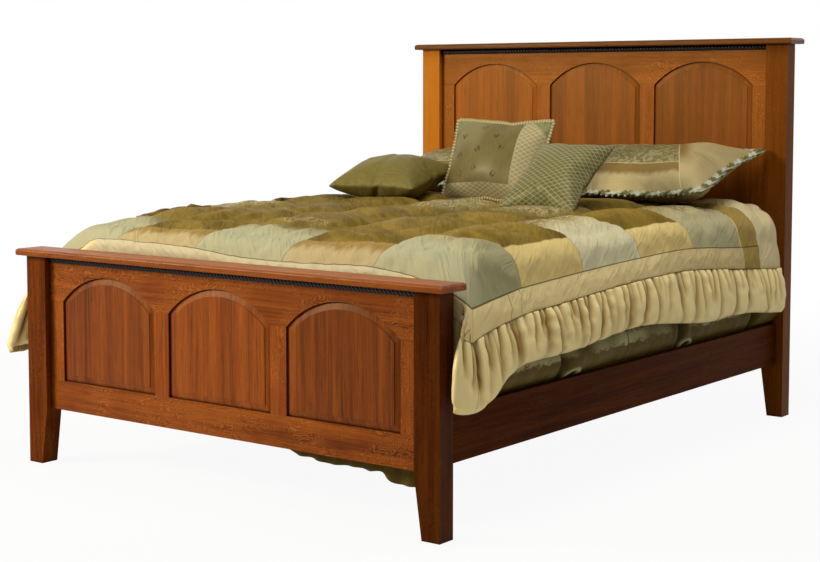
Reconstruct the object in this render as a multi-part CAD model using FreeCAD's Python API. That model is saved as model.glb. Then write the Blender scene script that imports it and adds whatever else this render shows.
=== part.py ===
import FreeCAD, Part
import math
import os

V = FreeCAD.Vector

# Queen-size panel bed, dressed. Millimetres, floor at z = 0, foot at -Y, head at +Y.

# Bedding the frame is built around
mattress_width = 1524.0
mattress_height = 250.0
mattress_edge_radius = 60.0
mattress_corner_radius = 85.0
mattress_corner_flats = 3
mattress_edge_flats = 2
box_spring_height = 229.0
box_spring_corner_radius = 35.0
bed_side_clearance = 7.0
bed_head_clearance = 3.0
bed_foot_clearance = 48.0
rest_gap = 0.3

# Side rails
rail_length = 2083.0
rail_thickness = 25.0
rail_height = 149.0
rail_bottom = 196.0

# Corner posts
post_width = 86.0
post_depth = 62.0
post_beyond_rail = 32.0
post_foot_width = 60.0
post_taper_height = 180.0

# Panelled boards
headboard_height = 1373.0
headboard_crown_drop = 61.0
headboard_rail_bottom = 420.0
headboard_rail_height = 140.0
footboard_height = 675.0
footboard_crown_drop = 54.0
footboard_rail_bottom = 181.0
footboard_rail_height = 95.0
frame_setback = 22.0
frame_thickness = 22.0
stile_width = 61.0
panel_count = 3
arch_rise = 88.0

# Raised panels
panel_tongue = 7.0
panel_float = 1.0
groove_depth = 10.0
joint_clearance = 0.2
bevel_width = 22.0
field_step = 1.5
field_depth = 0.5

# Frame joints
tenon_thickness = 8.0
tenon_length = 30.0
tenon_shoulder = 13.0
post_tenon_length = 36.0
post_tenon_shoulder = 20.0

# Caps and rope mouldings
cap_thickness = 22.0
cap_overhang = 25.0
cap_top_round = 9.0
cap_under_round = 5.0
cap_tongue_height = 7.0
cap_tongue_shoulder = 30.0
rope_radius = 10.0
rope_strand_pitch = 12.0
rope_sides = 3
rope_groove_width = 5.0
rope_groove_depth = 4.0
rope_angle = 50.0
rope_end_gap = 0.3

# Hook-on rail fittings
plate_thickness = 3.0
plate_width = 16.0
hook_plate_height = 120.0
hook_plate_inset = 14.0
slot_plate_margin = 5.0
hook_thickness = 3.0
hook_reach = 10.0
hook_height = 14.0
hook_lip = 10.0
hook_offsets = (30.0, 75.0)
hook_clearance = 0.5
pocket_clearance = 2.0

# Ledgers, slats and centre legs
ledger_width = 22.0
ledger_height = 30.0
ledger_rise = 8.0
ledger_end_gap = 20.0
ledger_screw_count = 4
ledger_screw_radius = 2.2
ledger_screw_head_radius = 4.4
ledger_screw_head_height = 3.0
ledger_screw_bite = 14.0
slat_count = 5
slat_width = 89.0
slat_thickness = 19.0
slat_end_clearance = 4.0
slat_end_inset = 200.0
leg_size = 44.0
leg_floor_gap = 20.0
leg_screw_radius = 2.5
leg_screw_head_radius = 5.0
leg_screw_head_height = 4.0
leg_screw_bite = 45.0
insert_radius = 6.5
insert_length = 30.0
stem_radius = 4.0
stem_clearance = 0.3
stem_length = 38.0
foot_pad_radius = 16.0
foot_pad_height = 8.0
hex_flats = 6
screw_flats = 8
bore_flats = 12

# Bed skirt
skirt_thickness = 2.5
skirt_slack = 0.4
skirt_bulge = 17.0
skirt_bulge_wave = 6.0
skirt_fold_count = 8
skirt_bulge_rise = 38.0
skirt_tuck = 55.0
skirt_tail_left = 560.0
skirt_tail_right = 720.0
skirt_tail_bottom = 114.0

# Comforter: patches swell between sunken seams, and are pressed flat under the pillows
comforter_thickness = 55.0
comforter_puff = 20.0
comforter_seam_sink = 4.0
comforter_patch = 345.0
comforter_first_seam = 278.5
comforter_pressed_length = 955.0
comforter_foot_slack = 5.0
comforter_foot_thickness = 15.0
comforter_hem_height = 455.0
comforter_foot_hem_drop = 108.0
comforter_head_hem_drop = 50.0
comforter_foot_flare = 12.0
comforter_corner_length = 230.0
comforter_head_gap = 88.0
comforter_frill_height = 140.0
comforter_band_height = 75.0
# Fall of the top towards the foot: distance from the comforter's foot, fall
comforter_fall = ((0.0, 132.0), (10.0, 88.0), (25.0, 62.0), (70.0, 32.0), (135.0, 14.0), (215.0, 4.0))
# Shoulder: distance beyond the mattress's side, share of the height from the band's seam to the top
comforter_shoulder = ((-122.0, 1.0), (-32.0, 0.97), (13.0, 0.82), (60.0, 0.48), (79.0, 0.0))
# Frill: distance beyond the mattress's side, share of its height
comforter_frill = ((94.0, 1.0), (122.0, 0.45), (114.0, 0.0))
# Inside of the hanging side: distance beyond the mattress's side, share of the frill's height
comforter_lining = ((26.0, 1.3), (70.0, 0.95), (100.0, 0.0))
# Corner fold that hangs beside each foot post: distance from the comforter's foot, then its outline
comforter_lobe = (
    (13.5, ((95.0, 600.0), (106.0, 590.0), (122.0, 480.0), (124.0, 360.0), (95.0, 360.0))),
    (-26.5, ((95.0, 600.0), (107.0, 585.0), (122.0, 480.0), (120.0, 362.0), (95.0, 362.0))),
    (-52.5, ((96.0, 560.0), (102.0, 550.0), (108.0, 480.0), (107.0, 385.0), (96.0, 385.0))),
)

# Pillows: sizes, centre x, lower edge's distance from the bed's head, lean and turn
pillow_rim = 3.0
pillow_drawn_in = 0.055
pillow_side_runs = 4
pillow_crown_levels = (0.94, 0.80, 0.58, 0.30)
sham = {"across": 690.0, "up": 450.0, "thick": 150.0, "flange": 32.0}
gold = {"across": 395.0, "up": 300.0, "thick": 120.0, "flange": 0.0}
lattice = {"across": 300.0, "up": 330.0, "thick": 110.0, "flange": 0.0}
olive = {"across": 410.0, "up": 350.0, "thick": 145.0, "flange": 0.0}
sham_x = 386.0
sham_from_head = 497.5
left_sham_angle = 14.0
right_sham_angle = 18.0
gold_x = -25.0
gold_from_head = 663.5
gold_angle = 70.0
lattice_x = 325.0
lattice_from_head = 942.5
lattice_angle = 36.0
olive_x = -480.0
olive_from_head = 908.5
olive_angle = 8.0
olive_turn_angle = 6.0

# Places that follow from the sizes above
rail_inner = mattress_width / 2 + bed_side_clearance
rail_outer = rail_inner + rail_thickness
rail_top = rail_bottom + rail_height
post_outer = rail_outer + post_beyond_rail
post_inner = post_outer - post_width
rail_end = rail_length / 2
opening_width = (2 * post_inner - (panel_count + 1) * stile_width) / panel_count
arch_radius = (opening_width ** 2 / 4 + arch_rise ** 2) / (2 * arch_rise)
tongue_inset = (frame_thickness - panel_tongue) / 2
tenon_inset = (frame_thickness - tenon_thickness) / 2
mortise_thickness = tenon_thickness + 2 * joint_clearance
ledger_bottom = rail_bottom + ledger_rise
slat_bottom = ledger_bottom + ledger_height
slat_top = slat_bottom + slat_thickness
bed_head = rail_end - bed_head_clearance
bed_foot = -rail_end + bed_foot_clearance
mattress_length = bed_head - bed_foot
bed_half = mattress_width / 2
box_spring_bottom = slat_top + rest_gap
box_spring_top = box_spring_bottom + box_spring_height
skirt_top = box_spring_top + skirt_slack + skirt_thickness
mattress_bottom = skirt_top + rest_gap
mattress_top = mattress_bottom + mattress_height
comforter_top = mattress_top + rest_gap + comforter_thickness


def box(x0, x1, y0, y1, z0, z1):
    low = V(min(x0, x1), min(y0, y1), min(z0, z1))
    return Part.makeBox(abs(x1 - x0), abs(y1 - y0), abs(z1 - z0), low)


def prism(points, direction):
    return Part.Face(Part.makePolygon(points + [points[0]])).extrude(direction)


def flat_skin(rings):
    """Closed solid over rings of points, each strip between two rings made of flat quads."""
    faces = [Part.Face(Part.makePolygon(ring + ring[:1])) for ring in (rings[0], rings[-1])]
    for low, high in zip(rings, rings[1:]):
        for i in range(len(low)):
            corners = [low[i - 1], low[i], high[i], high[i - 1], low[i - 1]]
            faces.append(Part.Face(Part.makePolygon(corners)))
    return Part.makeSolid(Part.makeShell(faces))


def facet_skin(rings):
    """Closed solid over rings of points, each strip between two rings made of triangles."""
    faces = [Part.Face(Part.makePolygon(ring + ring[:1])) for ring in (rings[0], rings[-1])]
    for low, high in zip(rings, rings[1:]):
        for i in range(len(low)):
            for third, fourth in ((low[i], high[i]), (high[i], high[i - 1])):
                faces.append(Part.Face(Part.makePolygon([low[i - 1], third, fourth, low[i - 1]])))
    body = Part.makeSolid(Part.makeShell(faces))
    if body.Volume < 0:
        body.reverse()
    return body


def save(node, shape):
    shape.exportStep("parts/%s.step" % node)


def save_group(node, solids):
    save(node, Part.makeCompound(solids))


def rod(radius, length, place, direction, flats):
    """Rod with flat sides, from place along direction."""
    turns = [2 * math.pi * i / flats for i in range(flats)]
    ring = [V(radius * math.cos(turn), radius * math.sin(turn), 0) for turn in turns]
    body = prism(ring, V(0, 0, length))
    body.Placement = FreeCAD.Placement(place, FreeCAD.Rotation(V(0, 0, 1), direction))
    return body


def screw(radius, head_radius, head_height, length, place, direction):
    """Flat-headed screw: head seated at place, shank running from there along direction."""
    head = rod(head_radius, head_height, place, direction * -1, screw_flats)
    return head.fuse(rod(radius, length, place, direction, screw_flats))


class Board:
    """Headboard or footboard: posts, panelled frame, cap and rope moulding, show face to -Y."""

    def __init__(self, name, front, height, crown_drop, lower_bottom, lower_height):
        self.name = name
        self.front = front
        self.back = front + post_depth
        self.height = height
        self.lower_bottom = lower_bottom
        self.lower_top = lower_bottom + lower_height
        self.frame_front = front + frame_setback
        self.arc_centre = height - crown_drop - arch_radius
        self.spring = height - crown_drop - arch_rise
        pitch = opening_width + stile_width
        self.openings = [pitch * (i - (panel_count - 1) / 2) for i in range(panel_count)]
        self.uprights = [pitch * (i - panel_count / 2) for i in range(panel_count + 1)]

    def outline(self, centre, y, grow):
        """Arch-topped opening grown by a margin, as a wire facing along Y."""
        half = opening_width / 2 + grow
        radius = arch_radius + grow
        spring = self.arc_centre + math.sqrt(radius ** 2 - half ** 2)
        low_left = V(centre - half, y, self.lower_top - grow)
        low_right = V(centre + half, y, self.lower_top - grow)
        high_right = V(centre + half, y, spring)
        high_left = V(centre - half, y, spring)
        crown = V(centre, y, self.arc_centre + radius)
        return Part.Wire([
            Part.makeLine(low_left, low_right),
            Part.makeLine(low_right, high_right),
            Part.Arc(high_right, crown, high_left).toShape(),
            Part.makeLine(high_left, low_left),
        ])

    def arch_prism(self, centre, y, grow, depth):
        return Part.Face(self.outline(centre, y, grow)).extrude(V(0, depth, 0))

    def grooves(self):
        """Slots round every opening that hold the panels' tongues."""
        y = self.frame_front + tongue_inset - joint_clearance
        depth = panel_tongue + 2 * joint_clearance
        return [self.arch_prism(centre, y, groove_depth, depth) for centre in self.openings]

    def tenon(self, x0, x1, z0, z1):
        y = self.frame_front + tenon_inset
        return box(x0, x1, y, y + tenon_thickness, z0, z1)

    def mortise(self, x0, x1, z0, z1):
        y = self.frame_front + tenon_inset - joint_clearance
        return box(x0, x1, y, y + mortise_thickness, z0, z1)

    def frame_box(self, x0, x1, z0, z1):
        return box(x0, x1, self.frame_front, self.frame_front + frame_thickness, z0, z1)

    def rail_tenon_heights(self, bottom, top):
        return bottom + post_tenon_shoulder, top - post_tenon_shoulder

    def post(self, side):
        foot_inner = post_outer - post_foot_width
        profile = [
            (post_outer, 0.0), (post_outer, self.height), (post_inner, self.height),
            (post_inner, post_taper_height), (foot_inner, 0.0),
        ]
        points = [V(side * x, self.front, z) for x, z in profile]
        body = prism(points, V(0, post_depth, 0))
        groove_end = side * (post_inner + groove_depth)
        cuts = [self.mortise(side * post_inner, groove_end, self.lower_top, self.spring)]
        mortise_end = side * (post_inner + post_tenon_length + panel_float)
        for bottom, top in ((self.lower_bottom, self.lower_top), (self.spring, self.height)):
            low, high = self.rail_tenon_heights(bottom, top)
            low -= joint_clearance
            high += joint_clearance
            cuts.append(self.mortise(side * post_inner, mortise_end, low, high))
        return body.cut(cuts)

    def upright(self, centre, side):
        """Stile or muntin; side is the post it is tongued into, or 0 between two panels."""
        half = stile_width / 2
        body = self.frame_box(centre - half, centre + half, self.lower_top, self.spring)
        tenon_half = half - tenon_shoulder
        left = centre - tenon_half
        right = centre + tenon_half
        joints = [
            self.tenon(left, right, self.spring, self.spring + tenon_length),
            self.tenon(left, right, self.lower_top - tenon_length, self.lower_top),
        ]
        if side:
            tongue_end = side * (post_inner + groove_depth - panel_float)
            joints.append(self.tenon(side * post_inner, tongue_end, self.lower_top, self.spring))
        return body.fuse(joints).cut(self.grooves()).removeSplitter()

    def upright_mortises(self, edge, direction):
        """Mortises for the uprights' tenons, cut into a rail from the given edge height."""
        tenon_half = stile_width / 2 - tenon_shoulder + joint_clearance
        end = edge + direction * (tenon_length + panel_float)
        return [self.mortise(x - tenon_half, x + tenon_half, edge, end) for x in self.uprights]

    def cross_rail(self, bottom, top):
        body = self.frame_box(-post_inner, post_inner, bottom, top)
        low, high = self.rail_tenon_heights(bottom, top)
        ends = [
            self.tenon(side * post_inner, side * (post_inner + post_tenon_length), low, high)
            for side in (-1, 1)
        ]
        return body.fuse(ends)

    def bottom_rail(self):
        body = self.cross_rail(self.lower_bottom, self.lower_top)
        cuts = self.upright_mortises(self.lower_top, -1) + self.grooves()
        return body.cut(cuts).removeSplitter()

    def top_rail(self):
        body = self.cross_rail(self.spring, self.height)
        reach = post_inner - cap_tongue_shoulder
        tongue = self.tenon(-reach, reach, self.height, self.height + cap_tongue_height)
        arches = [
            self.arch_prism(centre, self.frame_front, 0.0, frame_thickness) for centre in self.openings
        ]
        cuts = self.upright_mortises(self.spring, 1) + self.grooves() + arches
        return body.fuse(tongue).cut(cuts).removeSplitter()

    def panel(self, centre):
        """Raised panel: tongue all round, sloped bevel, small step and a flat field."""
        tongue_front = self.frame_front + tongue_inset
        field_front = self.frame_front + field_depth
        tongue = self.arch_prism(centre, tongue_front, groove_depth - panel_float, panel_tongue)
        bevel = Part.makeLoft([
            self.outline(centre, tongue_front, 0.0),
            self.outline(centre, field_front + field_step, -bevel_width),
        ], True, True)
        field = self.arch_prism(centre, field_front, -bevel_width, field_step)
        return tongue.fuse([bevel, field]).removeSplitter()

    def cap(self):
        half = post_outer + cap_overhang
        y0 = self.front - cap_overhang
        y1 = self.back + cap_overhang
        top = self.height + cap_thickness
        body = box(-half, half, y0, y1, self.height, top)
        upper = [e for e in body.Edges if abs(e.CenterOfMass.z - top) < 0.01]
        body = body.makeFillet(cap_top_round, upper)
        lower = [e for e in body.Edges if e.BoundBox.ZMax < self.height + 0.01]
        body = body.makeFillet(cap_under_round, lower)
        reach = post_inner - cap_tongue_shoulder + panel_float
        groove = self.mortise(-reach, reach, self.height, self.height + cap_tongue_height + panel_float)
        return body.cut(groove)

    def rope(self):
        """Half-round bead under the cap, cut with slanting grooves so that it reads as twisted rope."""
        half = post_inner - rope_end_gap
        centre = self.height - rope_radius
        start = V(-half, self.frame_front, centre)
        profile = []
        for i in range(rope_sides + 1):
            turn = math.pi * (i / rope_sides - 0.5)
            profile.append(start + V(0, -rope_radius * math.cos(turn), rope_radius * math.sin(turn)))
        bead = prism(profile, V(2 * half, 0, 0))
        angle = math.radians(rope_angle)
        along = V(math.cos(angle), 0, -math.sin(angle))
        across = V(math.sin(angle), 0, math.cos(angle))
        crest = self.frame_front - rope_radius
        reach = 2 * rope_radius
        count = int((2 * half - 2 * rope_radius) / rope_strand_pitch)
        tools = []
        for i in range(count + 1):
            x = rope_strand_pitch * (i - count / 2)
            middle = V(x, crest, centre) - along * reach
            points = [
                middle + across * (rope_groove_width / 2) - V(0, rope_groove_depth, 0),
                middle + across * (rope_groove_width / 2),
                middle + V(0, rope_groove_depth, 0),
                middle - across * (rope_groove_width / 2),
                middle - across * (rope_groove_width / 2) - V(0, rope_groove_depth, 0),
            ]
            tools.append(prism(points, along * (2 * reach)))
        return bead.cut(Part.makeCompound(tools))


# The two boards, with the footboard's back and the headboard's front at the ends of the rails
headboard = Board("headboard", rail_end, headboard_height, headboard_crown_drop,
                  headboard_rail_bottom, headboard_rail_height)
footboard = Board("footboard", -rail_end - post_depth, footboard_height, footboard_crown_drop,
                  footboard_rail_bottom, footboard_rail_height)

hook_plate_bottom = rail_bottom + hook_plate_inset
slot_plate_bottom = hook_plate_bottom - slot_plate_margin
slot_plate_height = hook_plate_height + 2 * slot_plate_margin
hook_slot_height = hook_height + hook_lip + hook_clearance


def at_corner(shape, side, end):
    """Carries a fitting drawn on the YZ plane, reaching to +Y, to one end of one rail."""
    turned = shape.copy()
    if end < 0:
        turned.rotate(V(0, 0, 0), V(0, 0, 1), 180)
    turned.translate(V(side * (rail_inner + rail_thickness / 2), end * rail_end, 0))
    return turned


def hook_plate():
    half = plate_width / 2
    top = hook_plate_bottom + hook_plate_height
    plate = box(-half, half, -plate_thickness, 0, hook_plate_bottom, top)
    lip_start = plate_thickness + hook_clearance
    hooks = []
    for offset in hook_offsets:
        low = hook_plate_bottom + offset
        profile = [
            (-plate_thickness, low), (lip_start, low), (lip_start, low - hook_lip),
            (hook_reach, low - hook_lip), (hook_reach, low + hook_height),
            (-plate_thickness, low + hook_height),
        ]
        points = [V(-hook_thickness / 2, y, z) for y, z in profile]
        hooks.append(prism(points, V(hook_thickness, 0, 0)))
    return plate.fuse(hooks).removeSplitter()


def hook_slots(start, depth, side_room, low_room):
    half = hook_thickness / 2 + side_room
    slots = []
    for offset in hook_offsets:
        low = hook_plate_bottom + offset
        slots.append(box(-half, half, start, start + depth, low - low_room, low + hook_slot_height))
    return slots


def slot_plate():
    half = plate_width / 2
    plate = box(-half, half, 0, plate_thickness, slot_plate_bottom, slot_plate_bottom + slot_plate_height)
    return plate.cut(hook_slots(0, plate_thickness, hook_clearance, 0))


def post_fitting_cuts():
    """Recess for the slotted plate and pockets for the hooks, drawn at the YZ plane."""
    half = plate_width / 2
    recess = box(-half, half, 0, plate_thickness, slot_plate_bottom, slot_plate_bottom + slot_plate_height)
    pocket_depth = hook_reach + pocket_clearance - plate_thickness
    pockets = hook_slots(plate_thickness, pocket_depth, pocket_clearance, hook_lip + pocket_clearance)
    return [recess] + pockets


def rail_recess():
    half = plate_width / 2
    top = hook_plate_bottom + hook_plate_height
    return box(-half, half, -plate_thickness, 0, hook_plate_bottom, top)


def ledger_screws(side):
    """Screws through a ledger into its rail, heads on the ledger's inner face."""
    reach = ledger_end_gap + 2 * ledger_height
    step = (rail_length - 2 * reach) / (ledger_screw_count - 1)
    head = V(side * (rail_inner - ledger_width), 0, ledger_bottom + ledger_height / 2)
    return [
        screw(ledger_screw_radius, ledger_screw_head_radius, ledger_screw_head_height,
              ledger_width + ledger_screw_bite, head + V(0, -rail_end + reach + i * step, 0), V(side, 0, 0))
        for i in range(ledger_screw_count)
    ]


def side_rail(side):
    body = box(side * rail_inner, side * rail_outer, -rail_end, rail_end, rail_bottom, rail_top)
    cuts = ledger_screws(side)
    cuts += [at_corner(rail_recess(), side, end) for end in (-1, 1)]
    return body.cut(cuts)


def ledger(side):
    reach = rail_end - ledger_end_gap
    body = box(side * (rail_inner - ledger_width), side * rail_inner, -reach, reach,
               ledger_bottom, ledger_bottom + ledger_height)
    return body.cut(ledger_screws(side))


slat_span = rail_length - 2 * slat_end_inset
slat_places = [slat_span * (i / (slat_count - 1) - 0.5) for i in range(slat_count)]
leg_places = slat_places[1:-1]


def leg_screw(y):
    """Screw down into a leg, its head sunk flush with the slat's top."""
    length = slat_thickness - leg_screw_head_height + leg_screw_bite
    return screw(leg_screw_radius, leg_screw_head_radius, leg_screw_head_height, length,
                 V(0, y, slat_top - leg_screw_head_height), V(0, 0, -1))


def slat(y):
    half = rail_inner - slat_end_clearance
    body = box(-half, half, y - slat_width / 2, y + slat_width / 2, slat_bottom, slat_top)
    if y in leg_places:
        body = body.cut(leg_screw(y))
    return body


def insert_blank(y):
    return rod(insert_radius, insert_length, V(0, y, leg_floor_gap), V(0, 0, 1), hex_flats)


def stem_bore(y, depth):
    return rod(stem_radius + stem_clearance, depth, V(0, y, leg_floor_gap), V(0, 0, 1), bore_flats)


def threaded_insert(y):
    return insert_blank(y).cut(stem_bore(y, insert_length))


def centre_leg(y):
    half = leg_size / 2
    body = box(-half, half, y - half, y + half, leg_floor_gap, slat_bottom)
    stem_room = foot_pad_height + stem_length + leg_floor_gap
    return body.cut([insert_blank(y), stem_bore(y, stem_room), leg_screw(y)])


def levelling_foot(y):
    """Hexagonal pad on the floor with a round stem up into the leg's insert."""
    pad = rod(foot_pad_radius, foot_pad_height, V(0, y, 0), V(0, 0, 1), hex_flats)
    stem = Part.makeCylinder(stem_radius, stem_length, V(0, y, foot_pad_height))
    return pad.fuse(stem)


def box_spring():
    body = box(-bed_half, bed_half, bed_foot, bed_head, box_spring_bottom, box_spring_top)
    upright = [e for e in body.Edges if e.BoundBox.ZLength > box_spring_height / 2]
    return body.makeFillet(box_spring_corner_radius, upright)


def mattress_outline(inset, z):
    """Rectangle drawn in by inset, each corner rounded by a few flats."""
    x = bed_half - mattress_corner_radius
    low = bed_foot + mattress_corner_radius
    high = bed_head - mattress_corner_radius
    radius = mattress_corner_radius - inset
    points = []
    for turn, centre in enumerate((V(x, high, z), V(-x, high, z), V(-x, low, z), V(x, low, z))):
        for i in range(mattress_corner_flats + 1):
            angle = math.pi / 2 * (turn + i / mattress_corner_flats)
            points.append(centre + V(radius * math.cos(angle), radius * math.sin(angle), 0))
    return points


def mattress():
    """Slab with its upper and lower edges rounded by a few flats."""
    lower = []
    for i in range(mattress_edge_flats + 1):
        angle = math.pi / 2 * i / mattress_edge_flats
        inset = mattress_edge_radius * (1 - math.sin(angle))
        lower.append((inset, mattress_edge_radius * (1 - math.cos(angle))))
    rings = [mattress_outline(inset, mattress_bottom + rise) for inset, rise in lower]
    rings += [mattress_outline(inset, mattress_top - rise) for inset, rise in reversed(lower)]
    return flat_skin(rings)


def skirt_section(side, y, bulge):
    """Hanging side of the skirt: down the box spring, puffed over the rail, tucked inside it."""
    inner = bed_half + skirt_slack
    outer = inner + skirt_thickness
    puff = outer + bulge
    waist = rail_top + 2 * skirt_bulge_rise
    hem = rail_top - skirt_tuck
    profile = [
        (outer, skirt_top), (outer, waist), (puff, rail_top + skirt_bulge_rise),
        (puff - bulge / 4, rail_top + skirt_thickness), (outer, rail_top + rest_gap),
        (outer, hem), (inner, hem), (inner, skirt_top),
    ]
    points = [V(side * x, y, z) for x, z in profile]
    return Part.makePolygon(points + [points[0]])


def skirt_drop(side):
    step = mattress_length / (2 * skirt_fold_count)
    sections = []
    for i in range(2 * skirt_fold_count + 1):
        bulge = skirt_bulge + skirt_bulge_wave * (-1) ** i
        sections.append(skirt_section(side, bed_foot + i * step, bulge))
    return Part.makeLoft(sections, True, True)


def bed_skirt():
    """Platform over the box spring with tucked sides, and a foot drop with one hanging tail."""
    inner = bed_half + skirt_slack
    outer = inner + skirt_thickness
    foot_face = bed_foot - skirt_slack - skirt_thickness
    top = box(-outer, outer, foot_face, bed_head, box_spring_top + skirt_slack, skirt_top)
    hem = rail_top - skirt_tuck
    foot = box(-outer, outer, foot_face, foot_face + skirt_thickness, hem, skirt_top)
    tail_centre = (skirt_tail_left + skirt_tail_right) / 2
    left = V(skirt_tail_left, foot_face, hem)
    right = V(skirt_tail_right, foot_face, hem)
    low_left = V(skirt_tail_left, foot_face, rail_bottom)
    low_right = V(skirt_tail_right, foot_face, rail_bottom)
    lowest = V(tail_centre, foot_face, skirt_tail_bottom)
    outline = Part.Wire([
        Part.makeLine(left, low_left),
        Part.Arc(low_left, lowest, low_right).toShape(),
        Part.makeLine(low_right, right),
        Part.makeLine(right, left),
    ])
    tail = Part.Face(outline).extrude(V(0, skirt_thickness, 0))
    corners = [
        box(side * inner, side * outer, foot_face, bed_foot, hem, skirt_top) for side in (-1, 1)
    ]
    pieces = [foot, tail, skirt_drop(-1), skirt_drop(1)] + corners
    return top.fuse(pieces).removeSplitter()


comforter_head = bed_head - comforter_head_gap
comforter_foot = bed_foot - comforter_foot_slack - comforter_foot_thickness
pressed_foot = bed_head - comforter_pressed_length


def hem_height(y):
    """Hem over the sides, lower in the corner folds at the foot and a little lower at the head."""
    from_foot = (y - comforter_foot) / comforter_corner_length
    from_head = (comforter_head - y) / comforter_corner_length
    return (comforter_hem_height - comforter_foot_hem_drop * math.exp(-from_foot ** 2)
            - comforter_head_hem_drop * math.exp(-from_head ** 2))


def hem_flare(y):
    """How much further out the hem hangs near the foot."""
    return comforter_foot_flare * math.exp(-((y - comforter_foot) / comforter_corner_length) ** 2)


def both_sides(right, y):
    """Ring of points over the bed from the left hem to the right hem."""
    left = [V(-x, y, z) for x, z in reversed(right) if x > 0]
    return left + [V(x, y, z) for x, z in right]


def comforter_rows():
    """Place, fall and swelling of each cross-section: down at the foot, then seams and patch middles."""
    rows = [(comforter_foot + away, fall, False) for away, fall in comforter_fall]
    y = comforter_foot + comforter_first_seam
    middle = False
    while y < comforter_head - comforter_patch / 4:
        rows.append((y, 0.0, middle))
        y += comforter_patch / 2
        middle = not middle
    rows += [(pressed_foot, 0.0, False), (comforter_head, 0.0, False)]
    return sorted(rows)


def comforter_outside(y, fall, middle):
    hem = hem_height(y)
    band = hem + comforter_frill_height + comforter_band_height
    top = comforter_top - fall
    pressed = y >= pressed_foot
    seam = top if pressed else top - comforter_seam_sink
    crest = top + comforter_puff if middle and not pressed else seam
    edge = bed_half + comforter_shoulder[0][0]
    right = []
    x = 0.0
    while x < edge - comforter_patch / 6:
        on_seam = len(right) % 2 == 1
        right.append((x, seam if on_seam else crest))
        x += comforter_patch / 2
    right.append((edge, crest))
    for beyond, share in comforter_shoulder[1:]:
        right.append((bed_half + beyond, band + share * (top - band)))
    for beyond, share in comforter_frill:
        reach = beyond + (1.0 - share) * hem_flare(y)
        right.append((bed_half + reach, hem + share * comforter_frill_height))
    return both_sides(right, y)


def comforter_inside(y, fall):
    """Room for the mattress and for the hanging side to clear the rails, open below."""
    hem = hem_height(y)
    bevel = 0.57 * mattress_edge_radius
    top = mattress_top + rest_gap - fall
    right = [(bed_half - bevel, top), (bed_half + rest_gap, top - bevel)]
    for beyond, share in comforter_lining:
        reach = beyond + (1.0 - share) * hem_flare(y)
        right.append((bed_half + reach, hem + share * comforter_frill_height))
    right.append((right[-1][0], hem - mattress_edge_radius))
    return both_sides(right, y)


def corner_fold(side):
    rings = []
    for away, outline in comforter_lobe:
        rings.append([V(side * (bed_half + beyond), comforter_foot + away, z) for beyond, z in outline])
    return facet_skin(rings)


def comforter():
    """Quilted cover: hangs over both sides, closed at the foot, open below and at the head."""
    rows = comforter_rows()
    body = facet_skin([comforter_outside(y, fall, middle) for y, fall, middle in rows])
    foot_end = comforter_foot + comforter_foot_thickness
    bevel = 0.57 * mattress_edge_radius
    inside = [comforter_inside(foot_end, bevel), comforter_inside(foot_end + bevel, 0.0)]
    inside += [comforter_inside(y, 0.0) for y, fall, middle in rows if y > foot_end + 2 * bevel]
    beyond_head = [point + V(0, comforter_head_gap, 0) for point in inside[-1]]
    room = facet_skin(inside + [beyond_head])
    return body.cut(room).fuse([corner_fold(-1), corner_fold(1)])


def pillow_outline(half_across, half_up, z):
    """Four sides in short straight runs, each side drawn in towards its middle."""
    lower = []
    for i in range(pillow_side_runs):
        along = 2 * i / pillow_side_runs - 1
        lower.append((along, pillow_drawn_in * (1 - along ** 2) - 1))
    right = [(-v, u) for u, v in lower]
    ring = lower + right + [(-u, -v) for u, v in lower + right]
    return [V(u * half_across, v * half_up, z) for u, v in ring]


def pillow(size):
    """Stuffed pillow lying flat: thin seam all round and a crown on both faces."""
    half_across = size["across"] / 2
    half_up = size["up"] / 2
    crown = (size["thick"] - pillow_rim) / 2
    levels = [(1.0, pillow_rim / 2)]
    for share in pillow_crown_levels:
        levels.append((share, pillow_rim / 2 + crown * math.sqrt(1 - share ** 2.6)))
    profile = [(share, -z) for share, z in reversed(levels)] + levels
    body = flat_skin([pillow_outline(half_across * share, half_up * share, z) for share, z in profile])
    if size["flange"]:
        rim = pillow_outline(half_across + size["flange"], half_up + size["flange"], -pillow_rim / 2)
        body = body.fuse(prism(rim, V(0, 0, pillow_rim))).removeSplitter()
    return body


def laid(size, x, from_head, lean, turn):
    """Leans a pillow back about its lower edge, turns it and rests it on the comforter."""
    body = pillow(size)
    body.rotate(V(0, 0, 0), V(1, 0, 0), lean)
    body.rotate(V(0, 0, 0), V(0, 0, 1), turn)
    bounds = body.optimalBoundingBox(True, False)
    lower_y = bed_head - from_head
    body.translate(V(x, lower_y - bounds.YMin, comforter_top + rest_gap - bounds.ZMin))
    return body


os.makedirs("parts", exist_ok=True)

fitting_cuts = post_fitting_cuts()
upright_names = ("left_stile", "left_muntin", "right_muntin", "right_stile")
upright_sides = (-1, 0, 0, 1)
panel_names = ("left_panel", "centre_panel", "right_panel")
sides = {"left": -1, "right": 1}
ends = {"footboard": -1, "headboard": 1}

for board in (headboard, footboard):
    end = ends[board.name]
    for side_name, side in sides.items():
        cuts = [at_corner(cut, side, end) for cut in fitting_cuts]
        save("%s_%s_post" % (board.name, side_name), board.post(side).cut(cuts))
    for upright_name, x, side in zip(upright_names, board.uprights, upright_sides):
        save("%s_%s" % (board.name, upright_name), board.upright(x, side))
    for panel_name, x in zip(panel_names, board.openings):
        save("%s_%s" % (board.name, panel_name), board.panel(x))
    save("%s_top_rail" % board.name, board.top_rail())
    save("%s_bottom_rail" % board.name, board.bottom_rail())
    save("%s_cap" % board.name, board.cap())
    save("%s_rope_moulding" % board.name, board.rope())

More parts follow.
